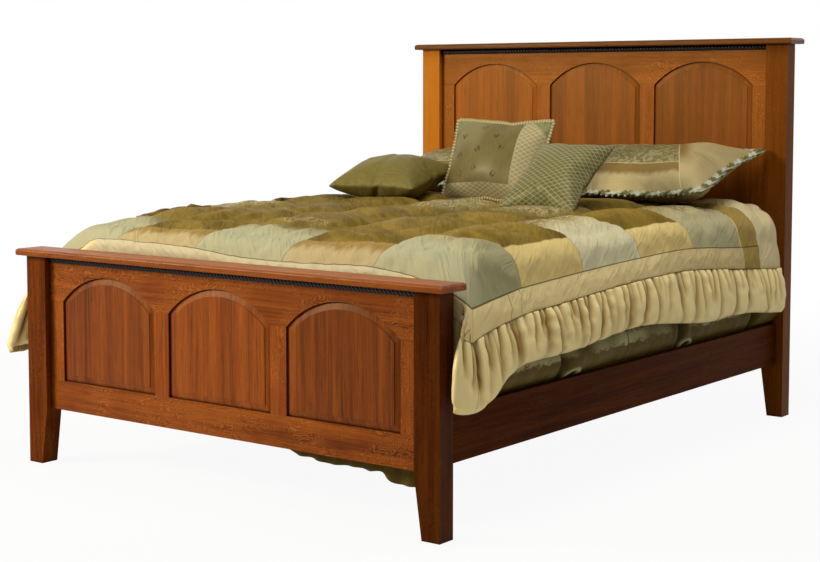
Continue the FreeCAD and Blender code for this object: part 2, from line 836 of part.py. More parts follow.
corners = [(side, end) for side in (-1, 1) for end in (-1, 1)]
save_group("rail_hook_plates", [at_corner(hook_plate(), side, end) for side, end in corners])
save_group("post_slot_plates", [at_corner(slot_plate(), side, end) for side, end in corners])

for side_name, side in sides.items():
    save("%s_side_rail" % side_name, side_rail(side))
    save("%s_ledger" % side_name, ledger(side))
save_group("ledger_screws", ledger_screws(-1) + ledger_screws(1))

for number, y in enumerate(slat_places, 1):
    save("slat_%d" % number, slat(y))
for number, y in enumerate(leg_places, 1):
    save("centre_leg_%d" % number, centre_leg(y))
    save("levelling_foot_%d" % number, levelling_foot(y))
save_group("leg_screws", [leg_screw(y) for y in leg_places])
save_group("threaded_inserts", [threaded_insert(y) for y in leg_places])

save("box_spring", box_spring())
save("bed_skirt", bed_skirt())
save("mattress", mattress())
save("comforter", comforter())
save("left_sham", laid(sham, -sham_x, sham_from_head, left_sham_angle, 0.0))
save("right_sham", laid(sham, sham_x, sham_from_head, right_sham_angle, 0.0))
save("gold_pillow", laid(gold, gold_x, gold_from_head, gold_angle, 0.0))
save("lattice_pillow", laid(lattice, lattice_x, lattice_from_head, lattice_angle, 0.0))
save("olive_pillow", laid(olive, olive_x, olive_from_head, olive_angle, olive_turn_angle))
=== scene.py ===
import bpy
import math
import numpy as np
from mathutils import Matrix, Vector


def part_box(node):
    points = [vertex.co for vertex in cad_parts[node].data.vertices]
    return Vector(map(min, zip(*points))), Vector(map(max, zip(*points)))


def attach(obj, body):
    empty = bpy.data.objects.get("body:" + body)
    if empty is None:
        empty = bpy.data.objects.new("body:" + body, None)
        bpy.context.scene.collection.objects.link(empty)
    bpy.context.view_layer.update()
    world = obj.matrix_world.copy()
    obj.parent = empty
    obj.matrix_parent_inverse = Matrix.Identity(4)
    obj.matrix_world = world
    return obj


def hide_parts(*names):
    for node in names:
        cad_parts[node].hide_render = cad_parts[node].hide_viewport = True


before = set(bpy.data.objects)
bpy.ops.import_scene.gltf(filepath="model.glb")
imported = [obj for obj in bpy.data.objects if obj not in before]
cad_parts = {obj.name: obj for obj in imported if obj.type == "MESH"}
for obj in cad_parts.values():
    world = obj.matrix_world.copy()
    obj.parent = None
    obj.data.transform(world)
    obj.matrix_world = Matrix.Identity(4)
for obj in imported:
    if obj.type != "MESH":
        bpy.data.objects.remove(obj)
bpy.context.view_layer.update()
scene = bpy.context.scene
scene.view_settings.view_transform = "Standard"
print("frame loaded:", len(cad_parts), "solids")


class Wire:  # a node's output, used in sums like a number
    def __init__(self, finish, socket):
        self.finish = finish
        self.socket = socket

    def sum(self, operation, *terms):
        return self.finish.node("Math", {"operation": operation}, dict(enumerate(terms)))

    def __add__(self, other):
        return self.sum("ADD", self, other)

    def __radd__(self, other):
        return self.sum("ADD", other, self)

    def __sub__(self, other):
        return self.sum("SUBTRACT", self, other)

    def __rsub__(self, other):
        return self.sum("SUBTRACT", other, self)

    def __mul__(self, other):
        return self.sum("MULTIPLY", self, other)

    def __rmul__(self, other):
        return self.sum("MULTIPLY", other, self)

    def __truediv__(self, other):
        return self.sum("DIVIDE", self, other)

    def __rtruediv__(self, other):
        return self.sum("DIVIDE", other, self)

    def __mod__(self, other):
        return self.sum("MODULO", self, other)

    def __rmod__(self, other):
        return self.sum("MODULO", other, self)

    def __lt__(self, other):
        return self.sum("LESS_THAN", self, other)

    def __gt__(self, other):
        return self.sum("GREATER_THAN", self, other)

    def __abs__(self):
        return self.sum("ABSOLUTE", self)

    def floor(self):
        return self.sum("FLOOR", self)

    def fract(self):
        return self.sum("FRACT", self)

    def top(self, other):
        return self.sum("MAXIMUM", self, other)

    def low(self, other):
        return self.sum("MINIMUM", self, other)


class Finish:  # a material, or the room's background, being written
    def __init__(self, name, owner=None):
        self.material = owner or bpy.data.materials.new(name)
        self.material.use_nodes = True
        self.tree = self.material.node_tree
        self.tree.nodes.clear()

    def node(self, kind, settings=None, inputs=None, output=0):
        made = self.tree.nodes.new("ShaderNode" + kind)
        for key, value in (settings or {}).items():
            if key == "stops":
                ramp = made.color_ramp
                while len(ramp.elements) < len(value):
                    ramp.elements.new(0.5)
                for element, (place, colour) in zip(ramp.elements, value):
                    element.position = place
                    element.color = colour
            else:
                setattr(made, key, value)
        for key, value in (inputs or {}).items():
            if isinstance(value, Wire):
                self.tree.links.new(value.socket, made.inputs[key])
            else:
                made.inputs[key].default_value = value
        return Wire(self, made.outputs[output]) if made.outputs else None

    def mix(self, share, first, second, how="MIX"):
        settings = {"data_type": "RGBA", "blend_type": how}
        return self.node("Mix", settings, {0: share, 6: first, 7: second}, 2)

    def noise(self, place, scale, detail=2.0, rough=0.5, twist=0.0):
        inputs = {"Vector": place, "Scale": scale, "Detail": detail, "Roughness": rough, "Distortion": twist}
        return self.node("TexNoise", {}, inputs)

    def stretch(self, place, scale, shift=(0, 0, 0), turn=(0, 0, 0)):
        inputs = {"Vector": place, "Location": shift, "Rotation": turn, "Scale": scale}
        return self.node("Mapping", {}, inputs)

    def drawn(self, place, across, along, detail=2.0, rough=0.5, twist=0.0):  # noise drawn out one way
        return self.noise(self.stretch(place, (across, along, 1.0)), 1.0, detail, rough, twist)

    def turned(self, place, angle):
        return self.stretch(place, (1.0, 1.0, 1.0), (0, 0, 0), (0, 0, angle))

    def position(self):
        return self.node("TexCoord", {}, {}, "Object")

    def marked(self, name):  # what mark wrote on the points
        return self.node("Attribute", {"attribute_name": name}, {}, "Vector")

    def axes(self, vector):
        split = self.node("SeparateXYZ", {}, {0: vector}).socket.node
        return [Wire(self, output) for output in split.outputs]

    def ease(self, value, low, high):  # 0 below low, 1 above high, smooth between
        settings = {"interpolation_type": "SMOOTHSTEP"}
        return self.node("MapRange", settings, {"Value": value, "From Min": low, "From Max": high})

    def fade(self, value, low, high):  # the other way round
        return 1 - self.ease(value, low, high)

    def bump(self, height, strength, distance):
        return self.node("Bump", {}, {"Strength": strength, "Distance": distance, "Height": height})

    def shine(self, inputs):
        shader = self.node("BsdfPrincipled", {}, inputs)
        self.node("OutputMaterial", {}, {"Surface": shader})
        return self.material


def paint(red, green, blue):  # a colour in steps of 0 to 255
    def linear(part):
        part /= 255
        return part / 12.92 if part < 0.04045 else ((part + 0.055) / 1.055) ** 2.4
    return (linear(red), linear(green), linear(blue), 1.0)


def newPiece(name, places, faces):
    mesh = bpy.data.meshes.new(name)
    mesh.from_pydata(np.asarray(places, float).reshape(-1, 3).tolist(), [], [list(f) for f in faces])
    mesh.update()
    mesh.shade_smooth()
    piece = bpy.data.objects.new(name, mesh)
    scene.collection.objects.link(piece)
    return piece


def coat(piece, finish):
    piece.data.materials.clear()
    piece.data.materials.append(finish)


def quads(n):  # faces between the rows and columns of point numbers
    corners = [n[:-1, :-1], n[:-1, 1:], n[1:, 1:], n[1:, :-1]]
    return np.stack(corners, axis=-1).reshape(-1, 4).tolist()


def gridFaces(rows, columns, closed=False, start=0, hoop=False):  # closed round the row, hoop round the rows
    numbers = np.arange(rows * columns).reshape(rows, columns) + start
    return quads(np.pad(numbers, ((0, int(hoop)), (0, int(closed))), mode="wrap"))


def stacked(*parts):  # rows of x, y, z from parts that spread over one another
    return np.stack(np.broadcast_arrays(*parts), axis=-1).reshape(-1, 3)


def runLength(path):  # how far along the path each of its points lies
    return np.concatenate([[0], np.cumsum(np.linalg.norm(np.diff(path, axis=0), axis=1))])


def ramp(value, start, width):  # 0 up to start, then straight up to 1
    return np.clip((value - start) / width, 0, 1)


def hump(distance, width):  # 1 at no distance, soft on both sides
    return np.exp(-(distance / width) ** 2)


def mark(piece, name, values):  # a vector on each point, for the finish to read
    made = piece.data.attributes.new(name, "FLOAT_VECTOR", "POINT")
    made.data.foreach_set("vector", np.asarray(values, np.float32).ravel())


def through(keys, values, at):  # smooth line through table values, over the first axis
    keys = np.asarray(keys, float)
    values = np.asarray(values, float)
    at = np.clip(np.asarray(at, float), keys[0], keys[-1])
    step = np.diff(keys).reshape((-1,) + (1,) * (values.ndim - 1))
    slope = np.diff(values, axis=0) / step
    tangent = np.concatenate([slope[:1], (slope[:-1] + slope[1:]) / 2, slope[-1:]])
    i = np.clip(np.searchsorted(keys, at, side="right") - 1, 0, len(keys) - 2)
    shape = at.shape + (1,) * (values.ndim - 1)
    h = (keys[i + 1] - keys[i]).reshape(shape)
    t = ((at - keys[i]) / (keys[i + 1] - keys[i])).reshape(shape)
    a = values[i] * (2 * t ** 3 - 3 * t ** 2 + 1) + tangent[i] * h * (t ** 3 - 2 * t ** 2 + t)
    return a + values[i + 1] * (3 * t ** 2 - 2 * t ** 3) + tangent[i + 1] * h * (t ** 3 - t ** 2)


def lumps(u, v, size, seed):  # smooth random field from -1 to 1 with lumps of that size
    table = np.random.default_rng(seed).uniform(-1, 1, (64, 64))
    a, b = np.asarray(u) / size, np.asarray(v) / size
    i, j = np.floor(a).astype(int), np.floor(b).astype(int)
    f, g = a - i, b - j
    f, g = f * f * (3 - 2 * f), g * g * (3 - 2 * g)
    near = table[i % 64, j % 64] * (1 - f) + table[(i + 1) % 64, j % 64] * f
    far = table[i % 64, (j + 1) % 64] * (1 - f) + table[(i + 1) % 64, (j + 1) % 64] * f
    return near * (1 - g) + far * g


def points(piece, what="co"):
    values = np.zeros(len(piece.data.vertices) * 3, np.float32)
    piece.data.vertices.foreach_get(what, values)
    return values.reshape(-1, 3).astype(float)


def normals(piece):
    return points(piece, "normal")


def move(piece, places):
    piece.data.vertices.foreach_set("co", np.asarray(places, np.float32).ravel())
    piece.data.update()


def thicken(piece, thickness):
    made = piece.modifiers.new("thickness", "SOLIDIFY")
    made.thickness = thickness
    made.offset = -1.0


def clothOn(piece, settings, pins=None):
    cloth = piece.modifiers.new("fabric", "CLOTH")
    for key, value in settings.items():
        setattr(cloth.settings, key, value)
    cloth.settings.use_pressure = True
    cloth.settings.effector_weights.gravity = 0.0
    cloth.collision_settings.use_collision = False
    cloth.point_cache.frame_start = 1
    cloth.point_cache.frame_end = 250
    if pins is not None:
        group = piece.vertex_groups.new(name="pinned")
        for level in (0.25, 0.5, 0.75, 1.0):
            chosen = np.nonzero((pins > level - 0.25) & (pins <= level))[0]
            group.add(chosen.tolist(), level, "REPLACE")
        cloth.settings.vertex_group_mass = "pinned"


def runCloth(pieces, frames):
    for number in range(1, frames + 1):
        scene.frame_set(number)
    graph = bpy.context.evaluated_depsgraph_get()
    for piece, most in pieces:
        before = points(piece)
        step = points(piece.evaluated_get(graph)) - before
        far = np.linalg.norm(step, axis=1)[:, None]
        if most:
            step *= np.minimum(1.0, most * np.tanh(far / most) / np.maximum(far, 1e-9))
        piece.modifiers.clear()
        piece.vertex_groups.clear()
        move(piece, before + step)
    scene.frame_set(1)


view = {"place": (3.3742, -4.6030, 1.2138), "turn": (85.59, 0.0, 37.1), "lens": 72.67, "shift": -0.08}
camera = bpy.data.objects.new("camera", bpy.data.cameras.new("camera"))
camera.location = view["place"]
camera.rotation_euler = [math.radians(a) for a in view["turn"]]
camera.data.lens = view["lens"]
camera.data.sensor_width = 36.0
camera.data.shift_y = view["shift"]  # keeps the posts nearly upright in the picture
scene.collection.objects.link(camera)
scene.camera = camera

lamps = {
    "key": {"place": (-3.5, -4.3, 2.7), "aim": (0.0, -0.5, 0.6), "size": 1.6, "watts": 275,
            "tint": (1.0, 0.93, 0.80)},
    "over": {"place": (0.9, -0.7, 4.0), "aim": (0.2, 0.0, 0.6), "size": 2.2, "watts": 92,
             "tint": (1.0, 0.96, 0.90)},
    "side": {"place": (4.4, -1.2, 2.0), "aim": (0.6, 0.0, 0.5), "size": 2.0, "watts": 8,
             "tint": (1.0, 0.96, 0.90)},
    "back": {"place": (2.6, 4.2, 2.8), "aim": (0.6, 0.2, 0.6), "size": 2.0, "watts": 32,
             "tint": (1.0, 0.98, 0.94)},
}
for name, lamp in lamps.items():
    data = bpy.data.lights.new(name, "AREA")
    data.size = lamp["size"]
    data.energy = lamp["watts"]
    data.color = lamp["tint"]
    made = bpy.data.objects.new(name, data)
    made.location = lamp["place"]
    made.rotation_euler = (Vector(lamp["aim"]) - Vector(lamp["place"])).to_track_quat("-Z", "Y").to_euler()
    scene.collection.objects.link(made)


def backdropRays(f):  # the camera sees the pale background, and so do reflections and clear things
    kinds = ("Camera", "Glossy", "Transmission")
    camera, glossy, clear = [f.node("LightPath", {}, {}, "Is " + kind + " Ray") for kind in kinds]
    return camera.top(glossy).top(clear)


room = Finish("room", bpy.data.worlds.new("room"))
scene.world = room.material
plain = room.node("Background", {}, {"Color": (0.95, 0.97, 1.0, 1.0), "Strength": 0.12})
white = room.node("Background", {}, {"Color": (1.0, 1.0, 1.0, 1.0), "Strength": 1.0})
shown = room.node("MixShader", {}, {0: backdropRays(room), 1: plain, 2: white})
room.node("OutputWorld", {}, {"Surface": shown})

floorLook = {"tone": (0.72, 0.71, 0.69, 1.0), "bare": 0.93, "fade": (1.6, 4.5), "reach": 60.0,
             "level": -0.001}
floorFinish = Finish("paleFloor")
seen = backdropRays(floorFinish)
matt = floorFinish.node("BsdfDiffuse", {}, {"Color": floorLook["tone"]})
glow = floorFinish.node("Emission", {}, {"Color": (1.0, 1.0, 1.0, 1.0), "Strength": 1.0})
ground = floorFinish.position()
away = floorFinish.node("VectorMath", {"operation": "LENGTH"}, {0: ground}, "Value")
faded = floorFinish.ease(away, *floorLook["fade"])
bare = floorLook["bare"] + faded * (1 - floorLook["bare"])  # the shadow fades out round the bed
both = floorFinish.node("MixShader", {}, {0: seen * bare, 1: matt, 2: glow})
floorFinish.node("OutputMaterial", {}, {"Surface": both})
far, level = floorLook["reach"], floorLook["level"]
floorPoints = [(x, y, level) for x, y in ((-far, -far), (far, -far), (far, far), (-far, far))]
floor = newPiece("floor", floorPoints, [(0, 1, 2, 3)])
coat(floor, floorFinish.material)
print("camera, lamps and floor")


oak = {
    "dark": paint(72, 27, 6), "mid": paint(130, 61, 15), "light": paint(160, 85, 24),
    "fleck": paint(188, 112, 42), "pore": paint(44, 17, 6), "corner": paint(22, 8, 3),
    "honey": paint(178, 112, 30), "gloss": (1.0, 0.76, 0.36, 1.0), "stave": 0.083,
    "litHoneyed": {"headboard_left_post": 0.6}, "headHoney": 0.25, "footHoney": 0.0,
}
paintedLightAndShade = {  # painted light and shade: boards made darker where they stand in shade and lighter where the light falls on them
    "footboard_right_post": 0.36, "right_side_rail": 0.36, "headboard_right_post": 0.58,
    "footboard_left_post": 0.62, "headboard_left_post": 1.35, "headboard_left_panel": 1.04,
    "headboard_right_panel": 0.74, "headboard_centre_panel": 0.9, "footboard_right_panel": 0.9,
    "headboard_cap": 0.4, "footboard_left_muntin": 1.15, "footboard_right_muntin": 1.15,
    "footboard_centre_panel": 1.12, "footboard_left_panel": 0.93,
}
grainOf = {  # which way the grain runs, how much ray fleck shows, glued staves, gloss
    "post": (2, 0.4, False, 0.03), "stile": (2, 0.8, False, 0.12), "muntin": (2, 0.8, False, 0.12),
    "panel": (2, 0.12, True, 0.16), "top_rail": (0, 1.0, False, 0.12), "bottom_rail": (0, 1.0, False, 0.12),
    "cap": (0, 0.5, False, 0.16), "side_rail": (1, 0.4, False, 0.01),
}


def oakFinish(name, kind, seed, honey, depth):
    f = Finish(name)
    along, fleck, staves, gloss = grainOf[kind]
    place = f.position()

    def grain(across, lengthwise, layer):
        scale = [across] * 3
        scale[along] = lengthwise
        return f.stretch(place, scale, (seed * 1.7 + layer, seed * 2.3, seed * 0.9 - layer))

    bands = f.noise(grain(30.0, 0.9, 0.0), 1.0, 3.0, 0.55, 0.6)
    streaks = f.noise(grain(210.0, 4.0, 3.0), 1.0, 2.0, 0.6)
    pores = f.ease(f.noise(grain(620.0, 16.0, 5.0), 1.0, 1.0, 0.5), 0.56, 0.74)
    swirl = f.noise(grain(20.0, 11.0, 8.0), 1.0, 2.0, 0.5, 0.5)
    curls = f.ease(abs((swirl * 26.0).fract() - 0.5), 0.20, 0.46)  # ray fleck lies in wavy lines
    patchy = f.ease(f.noise(grain(9.0, 6.0, 11.0), 1.0, 1.0), 0.32, 0.56)
    rays = curls * patchy * fleck
    tone = bands * 1.0 + streaks * 0.7 - 0.35
    if staves:
        number = (f.axes(place)[0] / oak["stave"] + seed * 0.37).floor()
        each = f.node("TexWhiteNoise", {"noise_dimensions": "1D"}, {"W": number + seed})
        tone = tone + (each - 0.5) * 0.2
    stops = [(0.12, oak["dark"]), (0.5, oak["mid"]), (0.9, oak["light"])]
    colour = f.node("ValToRGB", {"stops": stops}, {0: tone})
    colour = f.mix(rays * 0.52, colour, oak["fleck"])
    colour = f.mix(pores * 0.55, colour, oak["pore"])
    # golden honey tone; the extra honey on the headboard's left post is painted light where the light falls
    # on it
    if honey:
        colour = f.mix(honey, colour, oak["honey"])
    # painted light and shade: the board's colour scaled darker or lighter by how the light falls on it
    if depth != 1:
        colour = f.mix(1.0, colour, (depth, depth, depth, 1.0), "MULTIPLY")
    # painted shade: corners, grooves and recesses darkened by ambient occlusion
    corners = f.node("AmbientOcclusion", {"samples": 6}, {"Distance": 0.016}, "AO")
    colour = f.mix(f.fade(corners, 0.25, 0.85), colour, oak["corner"])
    bump = f.bump(streaks * 0.5 - pores + rays * 0.3, 0.25, 0.0006)
    rough = 0.30 + bands * 0.10 + pores * 0.2
    return f.shine({"Base Color": colour, "Roughness": rough, "Normal": bump, "Specular IOR Level": gloss,
                    "Specular Tint": oak["gloss"]})


seed = 0
for node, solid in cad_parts.items():
    kind = next((k for k in grainOf if node.endswith(k)), None)
    if kind:
        seed += 1
        usual = oak["headHoney"] if node.startswith("headboard") else oak["footHoney"]
        honey = oak["litHoneyed"].get(node, usual)
        coat(solid, oakFinish("oak_" + node, kind, seed, honey, paintedLightAndShade.get(node, 1.0)))
print("oak on", seed, "boards")

softwood = Finish("softwood")
place = softwood.position()
rings = softwood.noise(softwood.stretch(place, (6.0, 60.0, 60.0)), 1.0, 3.0, 0.6, 0.8)
pineTones = [(0.2, paint(176, 134, 86)), (0.8, paint(214, 178, 128))]
pale = softwood.node("ValToRGB", {"stops": pineTones}, {0: rings})
grown = softwood.bump(rings, 0.2, 0.0006)
softwood.shine({"Base Color": pale, "Roughness": 0.6 + rings * 0.15, "Normal": grown})

steel = Finish("zincSteel")
place = steel.position()
spots = steel.noise(place, 260.0, 3.0, 0.6)
steel.shine({"Base Color": steel.mix(spots, paint(150, 152, 155), paint(186, 188, 190)), "Metallic": 1.0,
             "Roughness": 0.28 + spots * 0.2})
for node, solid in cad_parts.items():
    finish = None
    if node.startswith("slat") or node.endswith("ledger") or node.startswith("centre_leg"):
        finish = softwood.material
    if "plate" in node or "screw" in node or "insert" in node or node.startswith("levelling"):
        finish = steel.material
    if finish:
        coat(solid, finish)


rope = {
    "pitch": 0.0138, "strand": 0.0050, "lay": 50.0, "rounds": 10, "steps": 7,
    "forward": 0.62, "spread": 0.70, "relief": 0.36, "core": (0.52, 0.99), "coreSteps": 13,
}


def ropeFinish():
    f = Finish("darkRope")
    place = f.position()
    wear = f.noise(place, 180.0, 3.0, 0.6)
    colour = f.mix(wear, paint(16, 15, 14), paint(34, 32, 30))
    # painted shade: the hollows between the strands darkened by ambient occlusion
    corners = f.node("AmbientOcclusion", {"samples": 6}, {"Distance": 0.006}, "AO")
    colour = f.mix(f.fade(corners, 0.35, 0.9), colour, paint(6, 5, 4))
    return f.shine({"Base Color": colour, "Roughness": 0.26 + wear * 0.12, "Specular IOR Level": 0.3})


def ropeMoulding(board, finish):
    low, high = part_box(board + "_rope_moulding")
    back = high.y
    middle = (low.z + high.z) / 2
    half = (high.z - low.z) / 2
    forward, spread, relief = [half * rope[size] for size in ("forward", "spread", "relief")]
    places, faces = [], []
    lean = half / math.tan(math.radians(rope["lay"]))
    count = int((high.x - low.x - 2 * lean) / rope["pitch"])
    turns = np.linspace(0, 2 * math.pi, rope["rounds"], endpoint=False)
    for n in range(count + 1):
        x = (low.x + high.x) / 2 + rope["pitch"] * (n - count / 2)
        start = len(places)
        for t in np.linspace(-1, 1, rope["steps"]):  # each strand runs over the bead from top to bottom
            angle = t * math.pi / 2
            y, z = back - forward * math.cos(angle), middle - spread * math.sin(angle)
            centre = np.array([x + lean * t, y, z])
            run = np.array([lean, forward * math.sin(angle), -spread * math.cos(angle)])
            run /= np.linalg.norm(run)
            out = np.array([0.0, -math.cos(angle), -math.sin(angle)])
            out -= run * (out @ run)
            out /= np.linalg.norm(out)
            side = np.cross(run, out)
            thick = rope["strand"] * (0.55 + 0.45 * math.cos(angle) ** 0.6)
            for turn in turns:
                p = centre + out * (relief * math.cos(turn)) + side * (thick * math.sin(turn))
                p[1] = min(p[1], back)
                places.append(p)
        faces += gridFaces(rope["steps"], rope["rounds"], True, start)
        faces.append(list(range(start, start + rope["rounds"]))[::-1])
        end = start + (rope["steps"] - 1) * rope["rounds"]
        faces.append(list(range(end, end + rope["rounds"])))
    piece = newPiece(board + "_rope", places, faces)
    count = rope["coreSteps"]
    deep, tall = [half * size for size in rope["core"]]
    arc = np.linspace(-math.pi / 2, math.pi / 2, count)
    ring = [(back - deep * math.cos(a), middle + tall * math.sin(a)) for a in arc]
    bead = [(x, y, z) for x in (low.x, high.x) for y, z in ring]
    ends = [list(range(count))[::-1], list(range(count, 2 * count))]
    core = newPiece(board + "_rope_core", bead, gridFaces(2, count, True) + ends)
    for made in (piece, core):
        coat(made, finish)
        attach(made, "bed_frame")
    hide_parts(board + "_rope_moulding")


ropeStain = ropeFinish()
for board in ("headboard", "footboard"):
    ropeMoulding(board, ropeStain)
print("rope mouldings")


comforter = {
    "shoulder": 0.70, "foot": -0.80, "head": 0.948, "round": 0.05, "top": 0.789, "step": 0.0115,
    "fan": 44, "thick": 0.012, "frames": 16, "most": 0.022, "pitch": 0.345, "rowShift": 0.045,
    "border": 0.081, "band": 0.201, "frill": 0.282, "hem": 0.4285, "strip": 0.655, "binding": 0.785,
    "bandJoins": (-0.815, -0.755), "capBack": 1.0145, "capSide": 0.857,
    "cornerTop": (0.685, -0.785), "cornerReach": 0.05, "crown": 0.006, "sag": 0.011, "sagFrom": 0.45,
    "sagOver": 0.35,
}
filling = {  # how the quilt gives under its filling
    "quality": 5, "mass": 0.25, "tension_stiffness": 12.0, "compression_stiffness": 12.0,
    "shear_stiffness": 6.0, "bending_stiffness": 0.12, "air_damping": 4.0,
    "uniform_pressure_force": 0.6, "shrink_min": -0.05,
}
rowDepths = (0.0, 0.06, 0.143, 0.201, 0.282, 0.4285)
sideOut = (0.0, 0.062, 0.122, 0.142, 0.155, 0.176)
footOut = (0.0, 0.06, 0.152, 0.200, 0.212, 0.213)
bandSeam = ((-0.75, 0.652), (-0.392, 0.670), (-0.069, 0.682), (0.279, 0.686), (0.665, 0.660), (0.78, 0.656),
            (0.97, 0.645))
frillSeam = ((-0.75, 0.578), (-0.549, 0.588), (-0.173, 0.609), (0.233, 0.615), (0.752, 0.576),
             (0.97, 0.562))
hemLine = ((-0.75, 0.445), (-0.479, 0.450), (-0.217, 0.470), (-0.061, 0.474), (0.361, 0.437),
           (0.641, 0.436), (0.861, 0.414), (0.97, 0.405))
footSeam = ((-0.65, 0.735), (-0.5, 0.738), (-0.2, 0.729), (0.03, 0.714), (0.34, 0.712), (0.52, 0.716),
            (0.65, 0.702))
cornerAt = (0.0, 0.15, 0.3, 0.42, 0.5, 0.58, 0.66, 0.72, 0.79, 0.86, 1.0)
cornerRows = {  # x, y, z of the corner fold at the band seam, the frill seam and the hem
    3: ((0.842, -0.75, 0.652), (0.847, -0.826, 0.6435), (0.852, -0.901, 0.635), (0.8565, -0.962, 0.6275),
        (0.8585, -1.000, 0.6225), (0.857, -1.010, 0.629), (0.850, -1.0135, 0.636), (0.838, -1.014, 0.643),
        (0.82, -1.014, 0.652), (0.795, -1.014, 0.662), (0.65, -1.000, 0.702)),
    4: ((0.855, -0.75, 0.578), (0.859, -0.845, 0.5655), (0.863, -0.93, 0.551), (0.867, -0.985, 0.5385),
        (0.869, -1.012, 0.530), (0.868, -1.034, 0.537), (0.863, -1.051, 0.546), (0.8585, -1.057, 0.554),
        (0.857, -1.043, 0.562), (0.8485, -1.018, 0.57), (0.65, -1.012, 0.655)),
    5: ((0.876, -0.75, 0.445), (0.884, -0.845, 0.42), (0.889, -0.925, 0.376), (0.890, -0.985, 0.354),
        (0.888, -1.022, 0.348), (0.883, -1.059, 0.349), (0.871, -1.087, 0.355), (0.861, -1.097, 0.365),
        (0.857, -1.064, 0.372), (0.8475, -1.018, 0.38), (0.65, -1.013, 0.505)),
}
leftCorner = {  # fuller fold, softer shoulder
    "lobe": 0.066, "forward": 0.034, "peak": 0.56, "wide": 0.20, "pull": 0.055,
}


def table(pairs, at):
    keys, values = zip(*pairs)
    return through(keys, values, at)


def topHeight(x, y):
    c = comforter
    fall = ramp(-y, c["sagFrom"], c["sagOver"])
    crown = c["crown"] * (1 - (np.abs(x) / c["shoulder"]) ** 2)
    return c["top"] + crown - c["sag"] * fall ** 2


def dropColumn(kind, at, side):  # the key rows of one column of the drop, from the top edge to the hem
    c = comforter
    rows = []
    for k in range(len(rowDepths)):
        if kind == "side":
            x, y = c["shoulder"] + sideOut[k], at
            upper = topHeight(c["shoulder"], at)
            band = table(bandSeam, at)
            lower = (band, table(frillSeam, at), table(hemLine, at))
            z = ((upper, upper - 0.006, upper - 0.47 * (upper - band)) + lower)[k]
        elif kind == "foot":
            x, y = at, c["foot"] - footOut[k]
            upper = topHeight(at, c["foot"])
            seam = table(footSeam, at * side)
            z = (upper, upper - 0.007, 0.5 * upper + 0.5 * seam + 0.004, seam, seam - 0.055, 0.505)[k]
        elif k < 3:
            bend = (1.0, 0.62, 0.42)[k]
            turn = at * math.pi / 2
            reach = c["round"]
            x = c["shoulder"] - reach + (reach + sideOut[k]) * math.cos(turn) ** bend
            y = c["foot"] + reach - (reach + footOut[k]) * math.sin(turn) ** bend
            first = dropColumn("side", c["foot"] + reach, side)[k][2]
            last = dropColumn("foot", c["shoulder"] - reach, side)[k][2]
            z = first + (last - first) * at
        else:
            x, y, z = through(cornerAt, cornerRows[k], np.array(at))
            if k < 5:  # the seams meet in a point
                z = np.interp(at, cornerAt, [place[2] for place in cornerRows[k]])
            if side < 0:
                spread = math.exp(-((at - leftCorner["peak"]) / leftCorner["wide"]) ** 2)
                lobe = spread * (0.0, 0.3, 1.0)[k - 3]
                x += leftCorner["lobe"] * lobe
                y -= leftCorner["forward"] * lobe
        if side < 0 and kind != "foot":
            near = min(1.0, max(0.0, (-0.3 - y) / 0.5)) ** 2
            if kind == "corner":
                near *= 1 - at ** 2
            x -= leftCorner["pull"] * near * (1.0, 1.0, 0.9, 0.6, 0.2, 0.0)[k]
        rows.append((float(x), float(y), float(z)))
    return rows


def clothAt(kind, at, depth):  # where a point of the drop was on the flat cloth
    c = comforter
    if kind == "side":
        return c["shoulder"] + depth, at
    if kind == "foot":
        return at, c["foot"] - depth
    reach = c["round"] + depth
    if at < 0.5:
        return c["shoulder"] + depth, c["foot"] + c["round"] - reach * at * 2
    return c["shoulder"] - c["round"] + reach * (1 - at) * 2, c["foot"] - depth


def perimeter():  # kind, place and side of each column, from the right of the head round to the left
    c = comforter
    half = c["fan"] // 2
    last = c["foot"] + c["round"]
    edge = c["shoulder"] - c["round"]
    straight = np.linspace(c["head"], last, int((c["head"] - last) / c["step"]) + 1)
    across = np.linspace(edge, -edge, int(2 * edge / (c["step"] * 1.3)) + 1)
    fan = [(i + 1) / (2 * half) for i in range(2 * half - 1)]
    right = [("side", y, 1) for y in straight] + [("corner", q, 1) for q in fan]
    left = [("corner", q, -1) for q in reversed(fan)] + [("side", y, -1) for y in reversed(straight)]
    return right + [("foot", x, 1) for x in across] + left, len(straight), half


def dropGrid(columns, depths):
    keys = []
    cloth = []
    for kind, at, side in columns:
        rows = np.array(dropColumn(kind, at, side))
        if kind != "foot":
            rows[:, 0] *= side
        keys.append(rows)
        flat = [clothAt(kind, at, d) for d in depths]
        cloth.append([(s * (side if kind != "foot" else 1), t, d) for (s, t), d in zip(flat, depths)])
    keys = np.array(keys).transpose(1, 0, 2)
    return through(rowDepths, keys, depths), np.array(cloth).transpose(1, 0, 2)


def seamGap(s, t):  # distance to the nearest seam of the patchwork, and the depth over the edge
    c = comforter
    depth = np.maximum(np.abs(s) - c["shoulder"], c["foot"] - t)
    a = (s / c["pitch"] + 0.5) % 1.0
    a = np.minimum(a, 1 - a) * c["pitch"]
    b = ((t + c["rowShift"]) / c["pitch"]) % 1.0
    b = np.minimum(b, 1 - b) * c["pitch"]
    onSide = np.abs(s) - c["shoulder"] > c["foot"] - t
    border = np.where(onSide, b, a)
    gap = np.where(depth > c["border"], border, np.minimum(a, b))
    gap = np.minimum(gap, np.minimum(np.abs(depth - c["border"]), np.abs(depth - c["band"])))
    low = np.minimum(np.abs(depth - c["band"]), np.abs(depth - c["frill"]))
    gap = np.where(depth > c["band"], low, gap)
    head = np.minimum(np.abs(t - c["strip"]), np.abs(t - c["binding"]))
    return np.minimum(gap, head), depth


